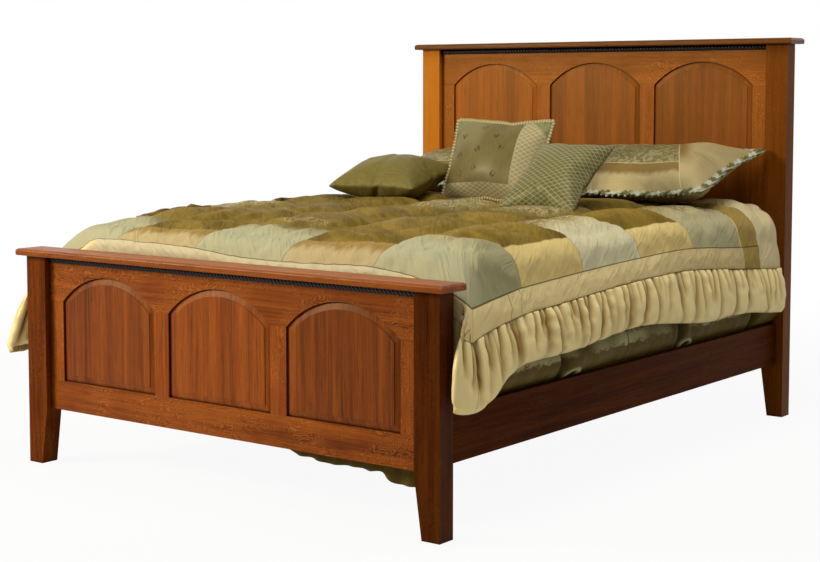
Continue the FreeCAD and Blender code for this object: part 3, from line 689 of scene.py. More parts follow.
def quilted(places, outward, cloth):  # seams sink and patches swell a little before the cloth is let loose
    s, t = cloth[:, 0], cloth[:, 1]
    gap, depth = seamGap(s, t)
    swell = 0.010 * (1 - np.exp(-gap / 0.03)) - 0.006
    swell = np.where(depth > comforter["band"], 0.5 * swell, swell)
    pucker = lumps(s + 0.3 * t, t - 0.4 * s, 0.026, 3) * np.exp(-gap / 0.03) * 0.0035
    creases = lumps(s * 0.5 + t, t * 0.35, 0.075, 5) * 0.0036 + lumps(s, t, 0.21, 8) * 0.005
    folded = ramp(np.abs(s), 0.66, 0.04) * ramp(comforter["foot"] - t, 0.10, 0.03)
    return places + outward * ((swell + pucker + creases) * (1 - 0.85 * folded))[:, None]


def clearOfCap(places):  # behind the footboard's cap, so that the bedding lifts off freely
    out = comforter["capSide"] - np.abs(places[:, 0])
    back = -comforter["capBack"] - places[:, 1]
    under = (out > 0) & (back > 0)
    sideways = under & (out < back)
    places[:, 0] += np.where(sideways, np.sign(places[:, 0]) * out, 0)
    places[:, 1] += np.where(under & ~sideways, back, 0)
    return places


def relax(piece, rounds, share):  # evens out sharp points
    ends = np.zeros(len(piece.data.edges) * 2, np.int32)
    piece.data.edges.foreach_get("vertices", ends)
    a, b = ends[::2], ends[1::2]
    count = np.bincount(ends, minlength=len(piece.data.vertices))[:, None]
    places = points(piece)
    for step in range(rounds):
        near = np.zeros_like(places)
        np.add.at(near, a, places[b])
        np.add.at(near, b, places[a])
        places = places + share * (near / count - places)
    move(piece, places)


def comforterPiece():
    c = comforter
    columns, straight, half = perimeter()
    depths = np.linspace(0, c["frill"], int(c["frill"] / c["step"]) + 2)
    drop, dropCloth = dropGrid(columns, depths)
    count = len(columns)
    rows = straight + half - 1  # of the top, from the corner's middle to the head
    edge = drop[0]
    right = edge[:rows + 1][::-1]
    left = edge[::-1][:rows + 1][::-1]
    foot = edge[rows:count - rows][::-1]
    along = (right[:, 1] - right[0, 1]) / (right[-1, 1] - right[0, 1])
    across = (foot[:, 0] - foot[0, 0]) / (foot[-1, 0] - foot[0, 0])
    head = left[-1] + (right[-1] - left[-1]) * across[:, None]
    a, b = along[:, None, None], across[None, :, None]
    top = (1 - b) * left[:, None] + b * right[:, None] + (1 - a) * foot[None] + a * head[None]
    top = top - (1 - a) * (1 - b) * foot[0] - (1 - a) * b * foot[-1]
    top = top - a * (1 - b) * head[0] - a * b * head[-1]
    inside = topHeight(top[..., 0], top[..., 1])
    top[1:, 1:-1, 2] = inside[1:, 1:-1]
    topCloth = stacked(top[..., 0], top[..., 1], 0.0)
    wide = top.shape[1]
    numbers = np.arange(top.shape[0] * wide).reshape(top.shape[0], wide)
    ring = np.concatenate([numbers[::-1, -1], numbers[0, -2:0:-1], numbers[:, 0]])
    faces = gridFaces(top.shape[0], wide)
    below = np.arange((len(depths) - 1) * count).reshape(-1, count) + top.shape[0] * wide
    whole = np.concatenate([ring[None], below])
    faces += quads(whole)
    places = np.concatenate([top.reshape(-1, 3), drop[1:].reshape(-1, 3)])
    cloth = np.concatenate([topCloth, dropCloth[1:].reshape(-1, 3)])
    piece = newPiece("comforter_quilt", places, faces)
    move(piece, quilted(places, normals(piece), cloth))
    mark(piece, "cloth", cloth)
    gap, depth = seamGap(cloth[:, 0], cloth[:, 1])
    pins = np.clip(1.3 - gap / 0.010, 0, 1)
    pins = np.where((depth > c["frill"] - 0.012) | (cloth[:, 1] > c["head"] - 0.02), 1.0, pins)
    pins = np.where((depth > c["band"]) & (pins < 0.4), 0.4, pins)
    folded = (np.abs(cloth[:, 0]) > c["shoulder"] - 0.03) & (cloth[:, 1] < c["foot"] - 0.11)
    pins = np.where(folded, 1.0, pins)
    clothOn(piece, filling, pins)
    runCloth([(piece, c["most"])], c["frames"])
    relax(piece, 2, 0.35)
    x, y, z = points(piece).T
    farShoulder = ramp(-x, 0.58, 0.06) * ramp(z, 0.70, 0.03)
    reach = np.hypot(np.abs(x) - c["cornerTop"][0], y - c["cornerTop"][1])
    calm = np.maximum(farShoulder, np.clip(1.5 - reach / c["cornerReach"], 0, 1))
    relax(piece, 16, 0.5 * calm[:, None])  # the far shoulder and the corners lie smooth
    move(piece, clearOfCap(points(piece)))
    return piece


frill = {"step": 0.0045, "rows": 30, "thick": 0.0025, "belly": 0.013, "flat": (8.0, 0.16), "seed": 77,
         "apart": (0.014, 0.052), "deep": (0.005, 0.015), "wide": (0.006, 0.013), "reach": (0.45, 1.4),
         "slant": (-0.03, 0.03)}


def frillPiece():  # gathered ruffle from the band down to the hem
    c = comforter
    columns = perimeter()[0]
    depths = np.linspace(c["frill"] - 0.002, c["hem"], frill["rows"])
    coarse, coarseCloth = dropGrid(columns, depths)
    length = runLength(coarse[-1])
    at = np.linspace(0, length[-1], int(length[-1] / frill["step"]))
    drop = np.stack([through(length, row, at) for row in coarse])
    cloth = np.stack([through(length, row, at) for row in coarseCloth])
    share = (depths - depths[0])[:, None] / (depths[-1] - depths[0])
    chance = np.random.default_rng(frill["seed"])
    fold = np.zeros(drop.shape[:2])
    place = 0.0
    while place < length[-1]:  # creases run down from the gathered seam, each to its own length
        draws = [chance.uniform(*frill[size]) for size in ("apart", "deep", "wide", "reach", "slant")]
        apart, deep, wide, reach, slant = draws
        place += apart
        line = hump(at[None, :] - place - slant * share, wide * (0.7 + 0.8 * share))
        fold -= deep * line * np.clip(1.15 - (share / reach) ** 2, 0, 1)
    broad = 0.009 * lumps(at[None, :], share * 0.05, 0.07, 29) * share
    broad = broad + 0.003 * lumps(at[None, :], share * 0.2, 0.03, 31)
    belly = frill["belly"] * np.sin(math.pi * np.clip(share * 1.05, 0, 1)) ** 0.7
    belly = belly - 0.012 * ramp(share, 0.88, 0.12) ** 2
    calm = 0.3 + 0.7 * ramp(np.abs(drop[..., 0]), 0.80, 0.05)
    places = drop.reshape(-1, 3)
    piece = newPiece("comforter_frill", places, gridFaces(*drop.shape[:2]))
    move(piece, clearOfCap(places + normals(piece) * ((fold + broad + belly) * calm).ravel()[:, None]))
    # how far each point lies out of a crease; the finish paints it as shade in the creases and highlight on
    # the crests
    creaseShade = np.clip(1 + fold / 0.013, 0, 1)
    mark(piece, "cloth", stacked(at[None, :], depths[:, None], creaseShade))
    mitre = np.abs(cloth[..., 0]) - c["shoulder"] - c["foot"] + cloth[..., 1]
    mark(piece, "mitre", stacked(mitre, 0.0, 0.0))
    return piece


quilt = comforterPiece()
ruffle = frillPiece()
print("comforter:", len(quilt.data.vertices), "points, frill:", len(ruffle.data.vertices))


def satin(f, colour, height, strength=0.35, distance=0.0012, rough=0.36, metal=0.1, gloss=0.08):
    return f.shine({"Base Color": colour, "Roughness": rough, "Normal": f.bump(height, strength, distance),
                    "Metallic": metal, "Specular IOR Level": gloss})


def strokes(f, cloth, turn, fine, length, least):  # short threads lying one way
    return f.ease(f.drawn(f.turned(cloth, turn), fine, length, 1.0), least, least + 0.07)


quiltColours = {
    "field": (paint(104, 86, 33), paint(95, 82, 35)), "shot": paint(136, 112, 48),
    "bright": paint(146, 123, 54), "sage": (paint(190, 184, 148), paint(170, 165, 128)),
    "footSage": paint(170, 168, 136), "shadedCornerSage": paint(154, 151, 116), "litMidSage": paint(212, 206, 170),
    "gold": paint(220, 196, 132), "footTan": paint(150, 124, 68), "band": paint(238, 216, 160),
    "headBand": paint(208, 187, 138), "footBand": paint(200, 190, 156), "paintedFootSheen": paint(206, 194, 156),
    "headStrip": paint(164, 140, 78), "binding": paint(214, 200, 158), "thread": paint(212, 198, 152),
    "piping": paint(78, 62, 28), "seam": paint(92, 76, 38), "slub": paint(216, 190, 120),
}


def quiltFinish():
    f = Finish("quiltedSatin")
    c, q = comforter, quiltColours
    cloth = f.marked("cloth")
    s, t = f.axes(cloth)[:2]
    overSide, overFoot = abs(s) - c["shoulder"], c["foot"] - t
    depth = overSide.top(overFoot)
    onFoot = overFoot > overSide
    column = (s / c["pitch"] + 0.5).floor().low(2.0).top(-2.0)
    row = ((t + c["rowShift"]) / c["pitch"]).floor().top(-3.0)
    spot = f.node("CombineXYZ", {}, {0: column, 1: row})
    each = f.node("TexWhiteNoise", {"noise_dimensions": "2D"}, {"Vector": spot})
    field = f.mix(each, q["field"][0], q["field"][1])
    field = f.mix(f.ease(each, 0.62, 0.66) * 0.12, field, q["sage"][1])
    slanted = f.turned(cloth, 0.55)
    shot = f.drawn(slanted, 5.0, 42.0, 3.0, 0.55, 1.0)
    field = f.mix(f.ease(shot, 0.40, 0.72) * 0.55, field, q["shot"])
    bright = f.drawn(slanted, 3.0, 6.5, 2.0, 0.5, 0.6)
    field = f.mix(f.ease(bright, 0.44, 0.62) * 0.5, field, q["bright"])  # painted sheen: the satin shines in broad patches
    odd = abs(column) % 2.0
    even = 1 - abs(row) % 2.0
    golden = onFoot * odd + (1 - onFoot) * even
    sage = f.mix(each, q["sage"][0], q["sage"][1])
    # painted shade on the sage patches near the foot corner, painted light on those along the middle of the
    # side
    sage = f.mix(f.fade(t, -0.78, -0.62), sage, q["shadedCornerSage"])
    sage = f.mix((t > -0.42) * (t < 0.26), sage, q["litMidSage"])
    sage = f.mix(f.ease(overFoot - overSide, -0.09, 0.05), sage, q["footSage"])
    tan = f.mix(onFoot, q["gold"], q["footTan"])
    wide = c["border"] - (1 - golden) * 0.085
    soft = 0.004 + (1 - golden) * 0.085  # the pale patches shade off into the field
    border = f.mix(golden, sage, tan)
    jag = f.drawn(cloth, 46.0, 9.0, 3.0, 0.6) * 0.07
    glow = onFoot * f.ease(overFoot + jag, 0.165, 0.20) * (0.12 + golden * 0.4)
    border = f.mix(glow, border, q["paintedFootSheen"])  # painted highlight, where the satin catches the light as it turns down
    colour = f.mix(f.ease(depth, wide - soft, wide + soft), field, border)
    endOfFoot = f.ease(abs(s), 0.58, 0.68)
    band = f.mix(f.ease(t, -0.2, 0.6), q["band"], q["headBand"])
    colour = f.mix(depth > c["band"], colour, f.mix(onFoot * (1 - endOfFoot), band, q["footBand"]))
    onSide = f.ease(depth, 0.0, 0.03)
    colour = f.mix((t > c["strip"]) * onSide, colour, q["headStrip"])
    colour = f.mix(t > c["binding"], colour, q["binding"])
    streak = f.drawn(cloth, 80.0, 10.0, 3.0, 0.6, 0.8)
    slub = f.drawn(cloth, 14.0, 120.0, 2.0, 0.5)
    colour = f.mix((streak - 0.3) * 0.6, colour, q["slub"], "SOFT_LIGHT")
    seamA = abs((s / c["pitch"] + 0.5).fract() - 0.5)
    seamB = abs(((t + c["rowShift"]) / c["pitch"]).fract() - 0.5)
    nearField = (0.5 - seamA.top(seamB)) * c["pitch"]
    nearBorder = (0.5 - (onFoot * seamA + (1 - onFoot) * seamB)) * c["pitch"]
    inBorder = depth > c["border"]
    near = nearField * (1 - inBorder) + nearBorder * inBorder
    line = (depth < c["band"]) * (t < c["strip"]) * f.fade(near, 0.0006, 0.0022)
    piping = f.fade(abs(depth - c["band"]), 0.0009, 0.0024)
    piping = piping.top(f.fade(abs(depth - c["frill"]), 0.001, 0.0026))
    mitre = f.fade(abs(overSide - overFoot), 0.0008, 0.0024)
    piping = piping.top(mitre * (depth > c["band"]) * 0.7) * (t < c["binding"])
    first, second = [f.fade(abs(t - join), 0.0008, 0.003) for join in c["bandJoins"]]
    joins = first.top(second)
    piping = piping.top(joins * (depth > c["band"]) * (overSide > overFoot) * 0.7)
    colour = f.mix(line * 0.35, colour, q["seam"])
    colour = f.mix(piping * 0.75, colour, q["piping"])
    threads = strokes(f, cloth, 0.5, 230.0, 34.0, 0.55).top(strokes(f, cloth, -0.8, 210.0, 36.0, 0.55))
    threads = threads.top(strokes(f, cloth, 1.5, 250.0, 32.0, 0.55))
    middle = f.fade(seamA.low(seamB).top(seamA.top(seamB) * 0.75), 0.20, 0.34)
    sewn = (1 - golden) * f.ease(depth, -0.17, -0.11) * f.fade(depth, 0.0, 0.05)
    sewn = sewn.top((depth < -0.14) * f.ease(each, 0.70, 0.74))
    sprig = threads * middle * sewn * (t < c["strip"])
    colour = f.mix(sprig * 0.55, colour, q["thread"])
    pucker = f.drawn(cloth, 26.0, 26.0, 3.0, 0.6, 1.2)
    drawn = f.ease(f.drawn(f.turned(cloth, 0.9), 8.0, 46.0, 2.0, 0.5, 0.6), 0.42, 0.72)
    height = pucker * (0.3 + f.fade(near, 0.0, 0.05) * 0.7) + drawn * 0.7 + streak * 0.2
    height = height + sprig * 0.3 - piping * 0.5 - line * 0.4
    return satin(f, colour, height, 0.55, 0.007, 0.42 + slub * 0.12, 0.02, 0.012)


def frillFinish():
    f = Finish("champagneSatin")
    cloth = f.marked("cloth")
    creaseShade = f.axes(cloth)[2]
    streak = f.drawn(cloth, 120.0, 14.0, 3.0, 0.6, 0.5)
    crush = f.drawn(cloth, 60.0, 22.0, 3.0, 0.6, 1.0)
    # painted shade in the creases and painted highlight on the crests
    colour = f.mix(creaseShade, paint(132, 100, 44), paint(240, 218, 156))
    colour = f.mix((streak - 0.3) * 0.6, colour, paint(250, 232, 180), "SOFT_LIGHT")
    mitre = f.axes(f.marked("mitre"))[0]
    seam = f.fade(abs(mitre), 0.001, 0.003)
    colour = f.mix(seam * 0.6, colour, quiltColours["piping"])
    return satin(f, colour, streak * 0.4 + crush - seam, 0.5, 0.006, 0.36 + streak * 0.12, 0.1, 0.06)


coat(quilt, quiltFinish())
coat(ruffle, frillFinish())
thicken(quilt, comforter["thick"])
thicken(ruffle, frill["thick"])
for piece, slot in ((quilt, "quilted_satin"), (ruffle, "champagne_satin")):
    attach(piece, "mattress")
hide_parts("comforter")
print("comforter dressed")


pillows = {
    "left_sham": {
        "size": (0.715, 0.475, 0.16), "straight": 0.50, "lean": 14.0, "turn": 0.0,
        "shift": (0.0, 0.0, 0.0), "pressure": 5.0, "raised": 0.0, "trim": 0.014, "pitch": 0.024, "seed": 41,
    },
    "right_sham": {
        "size": (0.715, 0.475, 0.18), "straight": 0.50, "lean": 20.0, "turn": 0.0,
        "shift": (0.0, 0.0, 0.006), "pressure": 5.0, "raised": 0.045, "trim": 0.014, "pitch": 0.024,
        "seed": 43,
    },
    "gold_pillow": {
        "size": (0.425, 0.325, 0.125), "straight": 0.65, "lean": 68.0, "turn": 0.0,
        "shift": (-0.020, -0.010, 0.010), "pressure": 6.0, "raised": 0.0, "trim": 0.007, "pitch": 0.012,
        "seed": 47,
    },
    "lattice_pillow": {
        "size": (0.315, 0.355, 0.13), "straight": 0.45, "lean": 38.0, "turn": 0.0,
        "shift": (0.022, 0.0, 0.008), "pressure": 6.0, "raised": 0.0, "trim": 0.0, "seed": 53,
    },
    "olive_pillow": {
        "size": (0.378, 0.35, 0.165), "straight": 0.45, "lean": 10.0, "turn": 6.0,
        "shift": (0.050, 0.0, 0.008), "pressure": 7.0, "raised": 0.0, "trim": 0.0, "seed": 59,
    },
}
sewing = {"cell": 0.0105, "frames": 26, "stiff": 14.0, "bend": 0.25}
resting = {"gap": 0.003, "sink": 0.006, "near": 0.06, "headboard": 1.043}  # how they lie on the bed


def sewnCovers(wide, high):  # two flat covers sharing their rim; points, faces, rim order
    columns = int(wide / sewing["cell"]) + 1
    rows = int(high / sewing["cell"]) + 1
    x, y = np.meshgrid(np.linspace(-wide / 2, wide / 2, columns), np.linspace(-high / 2, high / 2, rows))
    front = np.arange(rows * columns).reshape(rows, columns)
    back = front.copy()
    inner = np.arange((rows - 2) * (columns - 2)).reshape(rows - 2, columns - 2) + rows * columns
    back[1:-1, 1:-1] = inner
    rise = 0.004 * (1 - (2 * x / wide) ** 2) * (1 - (2 * y / high) ** 2)
    flat = np.stack([x, y, rise], axis=-1)
    under = np.stack([x, y, -rise], axis=-1)[1:-1, 1:-1]
    places = np.concatenate([flat.reshape(-1, 3), under.reshape(-1, 3)])
    rim = np.concatenate([front[0, :-1], front[:-1, -1], front[-1, :0:-1], front[:0:-1, 0]])
    return places, quads(front) + [face[::-1] for face in quads(back)], rim


def stuffPillows():  # air pressure fills the sewn covers, all in one run
    made = {}
    for name, p in pillows.items():
        wide, high, thick = p["size"]
        places, faces, rim = sewnCovers(wide, high)
        flat = places.copy()
        u, v = 2 * places[:, 0] / wide, 2 * places[:, 1] / high
        uneven = 0.0006 * lumps(places[:, 0], places[:, 1], 0.03, p["seed"])
        places[:, 2] += uneven * (np.abs(places[:, 2]) > 1e-6)
        piece = newPiece(name + "_cover", places, faces)
        made[name] = (piece, flat, rim)
        stiff = sewing["stiff"]
        settings = {
            "quality": 6, "mass": 0.2, "tension_stiffness": stiff, "compression_stiffness": stiff * 0.6,
            "shear_stiffness": stiff * 0.4, "bending_stiffness": sewing["bend"], "air_damping": 3.0,
            "uniform_pressure_force": p["pressure"],
        }
        clothOn(piece, settings)
    return made


def placed(p, node, local):  # from the pillow's own frame to its place on the bed
    low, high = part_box(node)
    centre = (low + high) / 2 + Vector(p["shift"])
    turn = Matrix.Translation(centre) @ Matrix.Rotation(math.radians(p["turn"]), 4, "Z")
    turn = np.array(turn @ Matrix.Rotation(math.radians(p["lean"]), 4, "X"))
    world = local @ turn[:3, :3].T + turn[:3, 3]
    rest = topHeight(world[:, 0], world[:, 1]) + resting["gap"]
    over = world[:, 2] - rest
    sunk = resting["sink"] * np.log1p(np.exp(np.clip(over / resting["sink"], -40, 40)))
    world[:, 2] = rest + np.where(over > resting["near"], over, sunk)
    world[:, 1] = np.minimum(world[:, 1], resting["headboard"])
    return world


def fitted(p, places):
    places = places - (places.max(axis=0) + places.min(axis=0)) / 2
    reach = places.max(axis=0) - places.min(axis=0)
    return places * (np.array(p["size"]) / reach)


def netLines(f, u, v, pitch, thread):  # cords crossing in diamonds
    a = abs(((u * 0.62 + v) / pitch).fract() - 0.5)
    b = abs(((u * 0.62 - v) / pitch).fract() - 0.5)
    return f.fade(a, thread * 0.5, thread).top(f.fade(b, thread * 0.5, thread))


def oliveFinish():
    f = Finish("oliveSatin")
    cloth = f.marked("cloth")
    streak = f.drawn(cloth, 22.0, 150.0, 3.0, 0.6, 0.8)
    fold = f.drawn(cloth, 34.0, 9.0, 3.0, 0.6, 1.4)
    colour = f.mix(streak, paint(92, 81, 36), paint(130, 118, 62))
    return satin(f, colour, fold + streak * 0.15, 0.5, 0.006, 0.44 + streak * 0.1)


def goldFinish():
    f = Finish("goldSatin")
    wide, high = pillows["gold_pillow"]["size"][:2]
    cloth = f.marked("cloth")
    u, v = f.axes(cloth)[:2]
    streak = f.drawn(cloth, 120.0, 30.0, 3.0, 0.6, 0.4)
    shot = f.drawn(cloth, 7.0, 3.0, 1.0)
    colour = f.mix(streak, paint(96, 84, 44), paint(114, 102, 62))
    colour = f.mix(f.ease(shot, 0.45, 0.65) * 0.6, colour, paint(134, 126, 88))
    threads = strokes(f, cloth, 0.6, 150.0, 30.0, 0.52).top(strokes(f, cloth, -0.7, 150.0, 30.0, 0.52))
    flat = {"voronoi_dimensions": "2D"}
    spots = f.node("TexVoronoi", flat, {"Vector": cloth, "Scale": 13.0, "Randomness": 0.7}, "Distance")
    sprig = threads * f.fade(spots, 0.10, 0.22)
    colour = f.mix(sprig * 0.8, colour, paint(62, 54, 28))
    side = f.ease(u, wide * 0.23, wide * 0.235).top(f.fade(v, -high * 0.30, -high * 0.295))
    net = netLines(f, u, v, 0.017, 0.10)
    strip = f.mix(net, paint(148, 136, 98), paint(184, 172, 132))
    colour = f.mix(side, colour, strip)
    ears = f.ease(abs(u) / wide + v / high, 0.765, 0.78)
    colour = f.mix(ears, colour, f.mix(streak, paint(92, 94, 56), paint(140, 142, 100)))
    return satin(f, colour, streak * 0.2 + net * side * 0.8 + sprig * 0.2, 0.5, 0.002, 0.4 + streak * 0.1)


def latticeFinish():
    f = Finish("latticeSatin")
    cloth = f.marked("cloth")
    u, v = f.axes(cloth)[:2]
    streak = f.drawn(cloth, 110.0, 30.0, 3.0, 0.6, 0.4)
    net = netLines(f, u, v, 0.0175, 0.09)
    colour = f.mix(streak, paint(82, 80, 44), paint(112, 108, 68))
    colour = f.mix(net, colour, paint(164, 154, 108))
    return satin(f, colour, streak * 0.15 + net, 0.7, 0.0022, 0.36 + streak * 0.1)


shamPanel = {"seam": -0.09, "mitre": 0.198, "start": -0.26}  # on the flat cover, from its middle


def shamFinish():
    seamAt, mitreAt = shamPanel["seam"], shamPanel["mitre"]
    f = Finish("champagneSham")
    cloth = f.marked("cloth")
    u, v = f.axes(cloth)[:2]
    streak = f.drawn(cloth, 150.0, 26.0, 3.0, 0.6, 0.5)
    slub = f.drawn(cloth, 20.0, 160.0, 2.0, 0.6)
    colour = f.mix(slub, paint(166, 148, 100), paint(186, 170, 124))
    across = u + (v - seamAt) * 0.5  # the mitred end starts where this passes the panel
    end = f.ease(across, mitreAt - 0.002, mitreAt + 0.002)
    ragged = f.drawn(cloth, 40.0, 12.0, 2.0, 0.6) * 0.03
    tan = f.ease(v + ragged, -0.142, -0.112) * (1 - end)
    tan = tan.top(end * f.fade(across + ragged, 0.22, 0.29) * f.ease(v, -0.13, -0.02))
    # painted shade: a dark tan gradient along the band's upper edge and across the mitred end
    colour = f.mix(tan * 0.9, colour, paint(116, 90, 40))
    panel = f.ease(v, seamAt, seamAt + 0.002) * (1 - end) * (u > shamPanel["start"])
    vine = f.ease(f.noise(cloth, 38.0, 2.0, 0.5, 1.5), 0.5, 0.56)
    colour = f.mix(panel, colour, f.mix(vine, paint(108, 100, 60), paint(142, 136, 96)))
    seam = f.fade(abs(v - seamAt), 0.001, 0.003) * (1 - end)
    seam = seam.top(f.fade(abs(across - mitreAt), 0.001, 0.003))
    colour = f.mix(seam * 0.6, colour, paint(206, 190, 140))
    return satin(f, colour, streak * 0.3 - seam, 0.4, 0.003, 0.36 + slub * 0.1)


def ruchedFinish(name, first, second, pitch):
    f = Finish(name)
    cloth = f.marked("cloth")
    along, around = f.axes(cloth)[:2]
    wobble = f.noise(cloth, 60.0, 2.0, 0.5)
    turn = (along / pitch + around + wobble * 0.8).fract()
    pale = f.ease(abs(turn - 0.5), 0.2, 0.28)
    crinkle = f.noise(cloth, 240.0, 2.0, 0.6)
    return satin(f, f.mix(pale, first, second), crinkle, 0.5, 0.002, 0.36 + crinkle * 0.1)


ruching = {"step": 0.004, "rounds": 10, "out": 1.5, "thick": 0.75}


def ruchedTrim(name, rim, radius, pitch, seed):  # gathered edging sewn round a pillow's rim
    closed = np.concatenate([rim, rim[:1]])
    length = runLength(closed)
    count = int(length[-1] / ruching["step"])
    at = np.arange(count) * length[-1] / count
    path = through(length, closed, at)
    for smoothing in range(3):
        path = (np.roll(path, 1, 0) + 2 * path + np.roll(path, -1, 0)) / 4
    run = np.roll(path, -1, 0) - np.roll(path, 1, 0)
    run /= np.linalg.norm(run, axis=1)[:, None]
    out = path - path.mean(axis=0)
    out -= run * (out * run).sum(axis=1)[:, None]
    out /= np.linalg.norm(out, axis=1)[:, None]
    side = np.cross(run, out)
    rounds = ruching["rounds"]
    turn = np.arange(rounds) * 2 * math.pi / rounds
    wave = 0.75 + 0.35 * np.sin(2 * math.pi * at[:, None] / pitch + 2 * turn[None, :])
    wave = wave + 0.22 * lumps(at[:, None], turn[None, :] * 0.01, 0.012, seed)
    spread = radius * wave
    places = path[:, None] + out[:, None] * (spread * np.cos(turn) * ruching["out"])[..., None]
    places = places + side[:, None] * (spread * np.sin(turn) * ruching["thick"])[..., None]
    piece = newPiece(name, places, gridFaces(count, rounds, True, hoop=True))
    mark(piece, "cloth", stacked(at[:, None], turn[None, :] / (2 * math.pi), 0.0))
    return piece


stuffed = stuffPillows()
runCloth([(piece, 0.0) for piece, flat, rim in stuffed.values()], sewing["frames"])
print("pillows stuffed")
covers = {"olive_pillow": (oliveFinish(), "olive_satin"), "gold_pillow": (goldFinish(), "gold_satin"),
          "lattice_pillow": (latticeFinish(), "lattice_satin")}
covers["left_sham"] = covers["right_sham"] = (shamFinish(), "champagne_satin")
edging = {"gold_pillow": ruchedFinish("creamCord", paint(184, 170, 124), paint(132, 118, 74), 0.012)}
greenEdging = ruchedFinish("greenEdging", paint(100, 92, 42), paint(180, 184, 164), 0.09)
edging["left_sham"] = edging["right_sham"] = greenEdging
for name, (piece, flat, rim) in stuffed.items():
    p = pillows[name]
    if name == "gold_pillow":
        relax(piece, 10, 0.5)
    local = fitted(p, points(piece))
    local[:, :2] += p["straight"] * (flat[:, :2] * 0.98 - local[:, :2])  # how little the sides draw in
    if name == "olive_pillow":  # one crease pulled in across the middle
        pull = hump(local[:, 0] + 0.015 * np.sin(9 * local[:, 1]), 0.016)
        local[:, 2] *= 1 - 0.10 * pull * np.clip(0.6 - 3 * local[:, 1], 0, 1)
    side = ramp(local[:, 0], 0.08, 0.27) ** 1.5
    front = np.clip(0.5 - local[:, 1] / p["size"][1], 0, 1)
    under = np.clip(-local[:, 2] / (0.35 * p["size"][2]), 0, 1)
    crown = hump(local[:, 0] - 0.20, 0.09) * ramp(local[:, 2], 0, 0.05)
    local[:, 2] += p["raised"] * (side * front * (1 - under) + 0.28 * crown)  # stands up on its stuffing
    world = placed(p, name, local)
    move(piece, world)
    mark(piece, "cloth", flat)
    finish, slot = covers[name]
    coat(piece, finish)
    soft = piece.modifiers.new("smooth", "SUBSURF")
    soft.levels = soft.render_levels = 1
    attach(piece, name)
    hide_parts(name)
    if p["trim"]:
        trim = ruchedTrim(name + "_edging", world[rim], p["trim"], p["pitch"], p["seed"])
        coat(trim, edging[name])
        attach(trim, name)
print("pillows placed")


skirt = {
    "half": 0.7635, "head": 1.0375, "foot": -0.9950, "top": 0.4852, "rail": 0.347, "tuck": 0.29,
    "puffEnd": 0.35, "tuckStart": 0.345, "puffRows": 36, "tuckRows": 7, "step": 0.0055, "footStep": 0.012,
    "puff": 0.040, "off": 0.0015, "thick": 0.003, "flat": (5.6, 0.24), "seam": 1.086, "tuckWide": 0.024,
    "tucks": (-0.43, 0.325, 0.86), "loops": (-0.368, 0.370), "loopSize": (0.036, 0.021), "loopLevel": 0.350,
}


def skirtPiece():  # satin over the box spring, puffed out above the rail, tucked in behind it
    k = skirt
    half, head, foot = k["half"], k["head"], k["foot"]
    puffed = np.linspace(k["top"], k["puffEnd"], k["puffRows"])
    heights = np.concatenate([puffed, np.linspace(k["tuckStart"], k["tuck"], k["tuckRows"])])
    side = np.linspace(head, foot, int((head - foot) / k["step"]))
    across = np.linspace(half, -half, int(2 * half / k["footStep"]))[1:-1]
    right = [(half, y, 1.0) for y in side]
    front = [(x, foot, 0.0) for x in across]
    left = [(-half, y, -1.0) for y in side[::-1]]
    path = np.array(right + front + left)
    z = heights[:, None]
    x, y, outward = [path[None, :, i] for i in range(3)]
    level = np.clip((k["top"] - z) / (k["top"] - k["rail"]), 0, 1)
    belly = np.sin(math.pi * level ** 1.15) ** 0.8 * (z > k["tuckStart"])
    broad = 0.85 + 0.35 * lumps(y, x * 0, 0.33, 61) + 0.12 * lumps(y, z, 0.12, 63)
    tucks = sum(hump(y - at, k["tuckWide"]) for at in k["tucks"])
    out = k["puff"] * belly * broad * (1 - 0.6 * np.clip(tucks, 0, 1))
    gathers = sum(np.exp(-np.abs(y - at) / 0.09) for at in k["tucks"])
    creases = 0.003 * lumps(y + 0.5 * z, z * 0.4, 0.05, 67)
    creases = creases + 0.005 * lumps(y * 2.2, z * 0.5, 0.05, 69) * gathers
    wide, high = k["loopSize"]
    loopLightAndShade = 0 * out
    for at in k["loops"]:  # a loop of the satin pulled up at a tuck
        ring = np.hypot((y - at) / wide, (z - k["loopLevel"]) / high)
        arch = ramp(z, k["loopLevel"] - 0.010, 0.010) * (outward > 0)
        rim = hump(ring - 0.9, 0.24) * arch
        hole = hump(ring, 0.55) * arch
        out = out + 0.011 * rim - 0.010 * hole
        loopLightAndShade = loopLightAndShade + rim - hole
    out = np.maximum(out + creases * np.clip(belly * 2, 0, 1), 0) * np.abs(outward)
    places = stacked(x + outward * (out + k["off"]), y, z)
    piece = newPiece("bed_skirt_satin", places, gridFaces(len(heights), len(path)))
    mark(piece, "cloth", stacked(runLength(path[:, :2])[None, :], z, 0.0))
    mark(piece, "shade", stacked(np.clip(tucks, 0, 1), level, loopLightAndShade))
    return piece


tailEdge = ((0.20, 0.17), (0.228, 0.152), (0.305, 0.145), (0.361, 0.138), (0.417, 0.140), (0.472, 0.142),
            (0.515, 0.139), (0.556, 0.141), (0.580, 0.126), (0.608, 0.1155), (0.632, 0.1145),
            (0.66, 0.1145), (0.70, 0.118), (0.735, 0.128))
tailShape = {"top": 0.40, "back": -0.9985, "columns": 90, "rows": 30, "flat": (0.56, 0.28)}


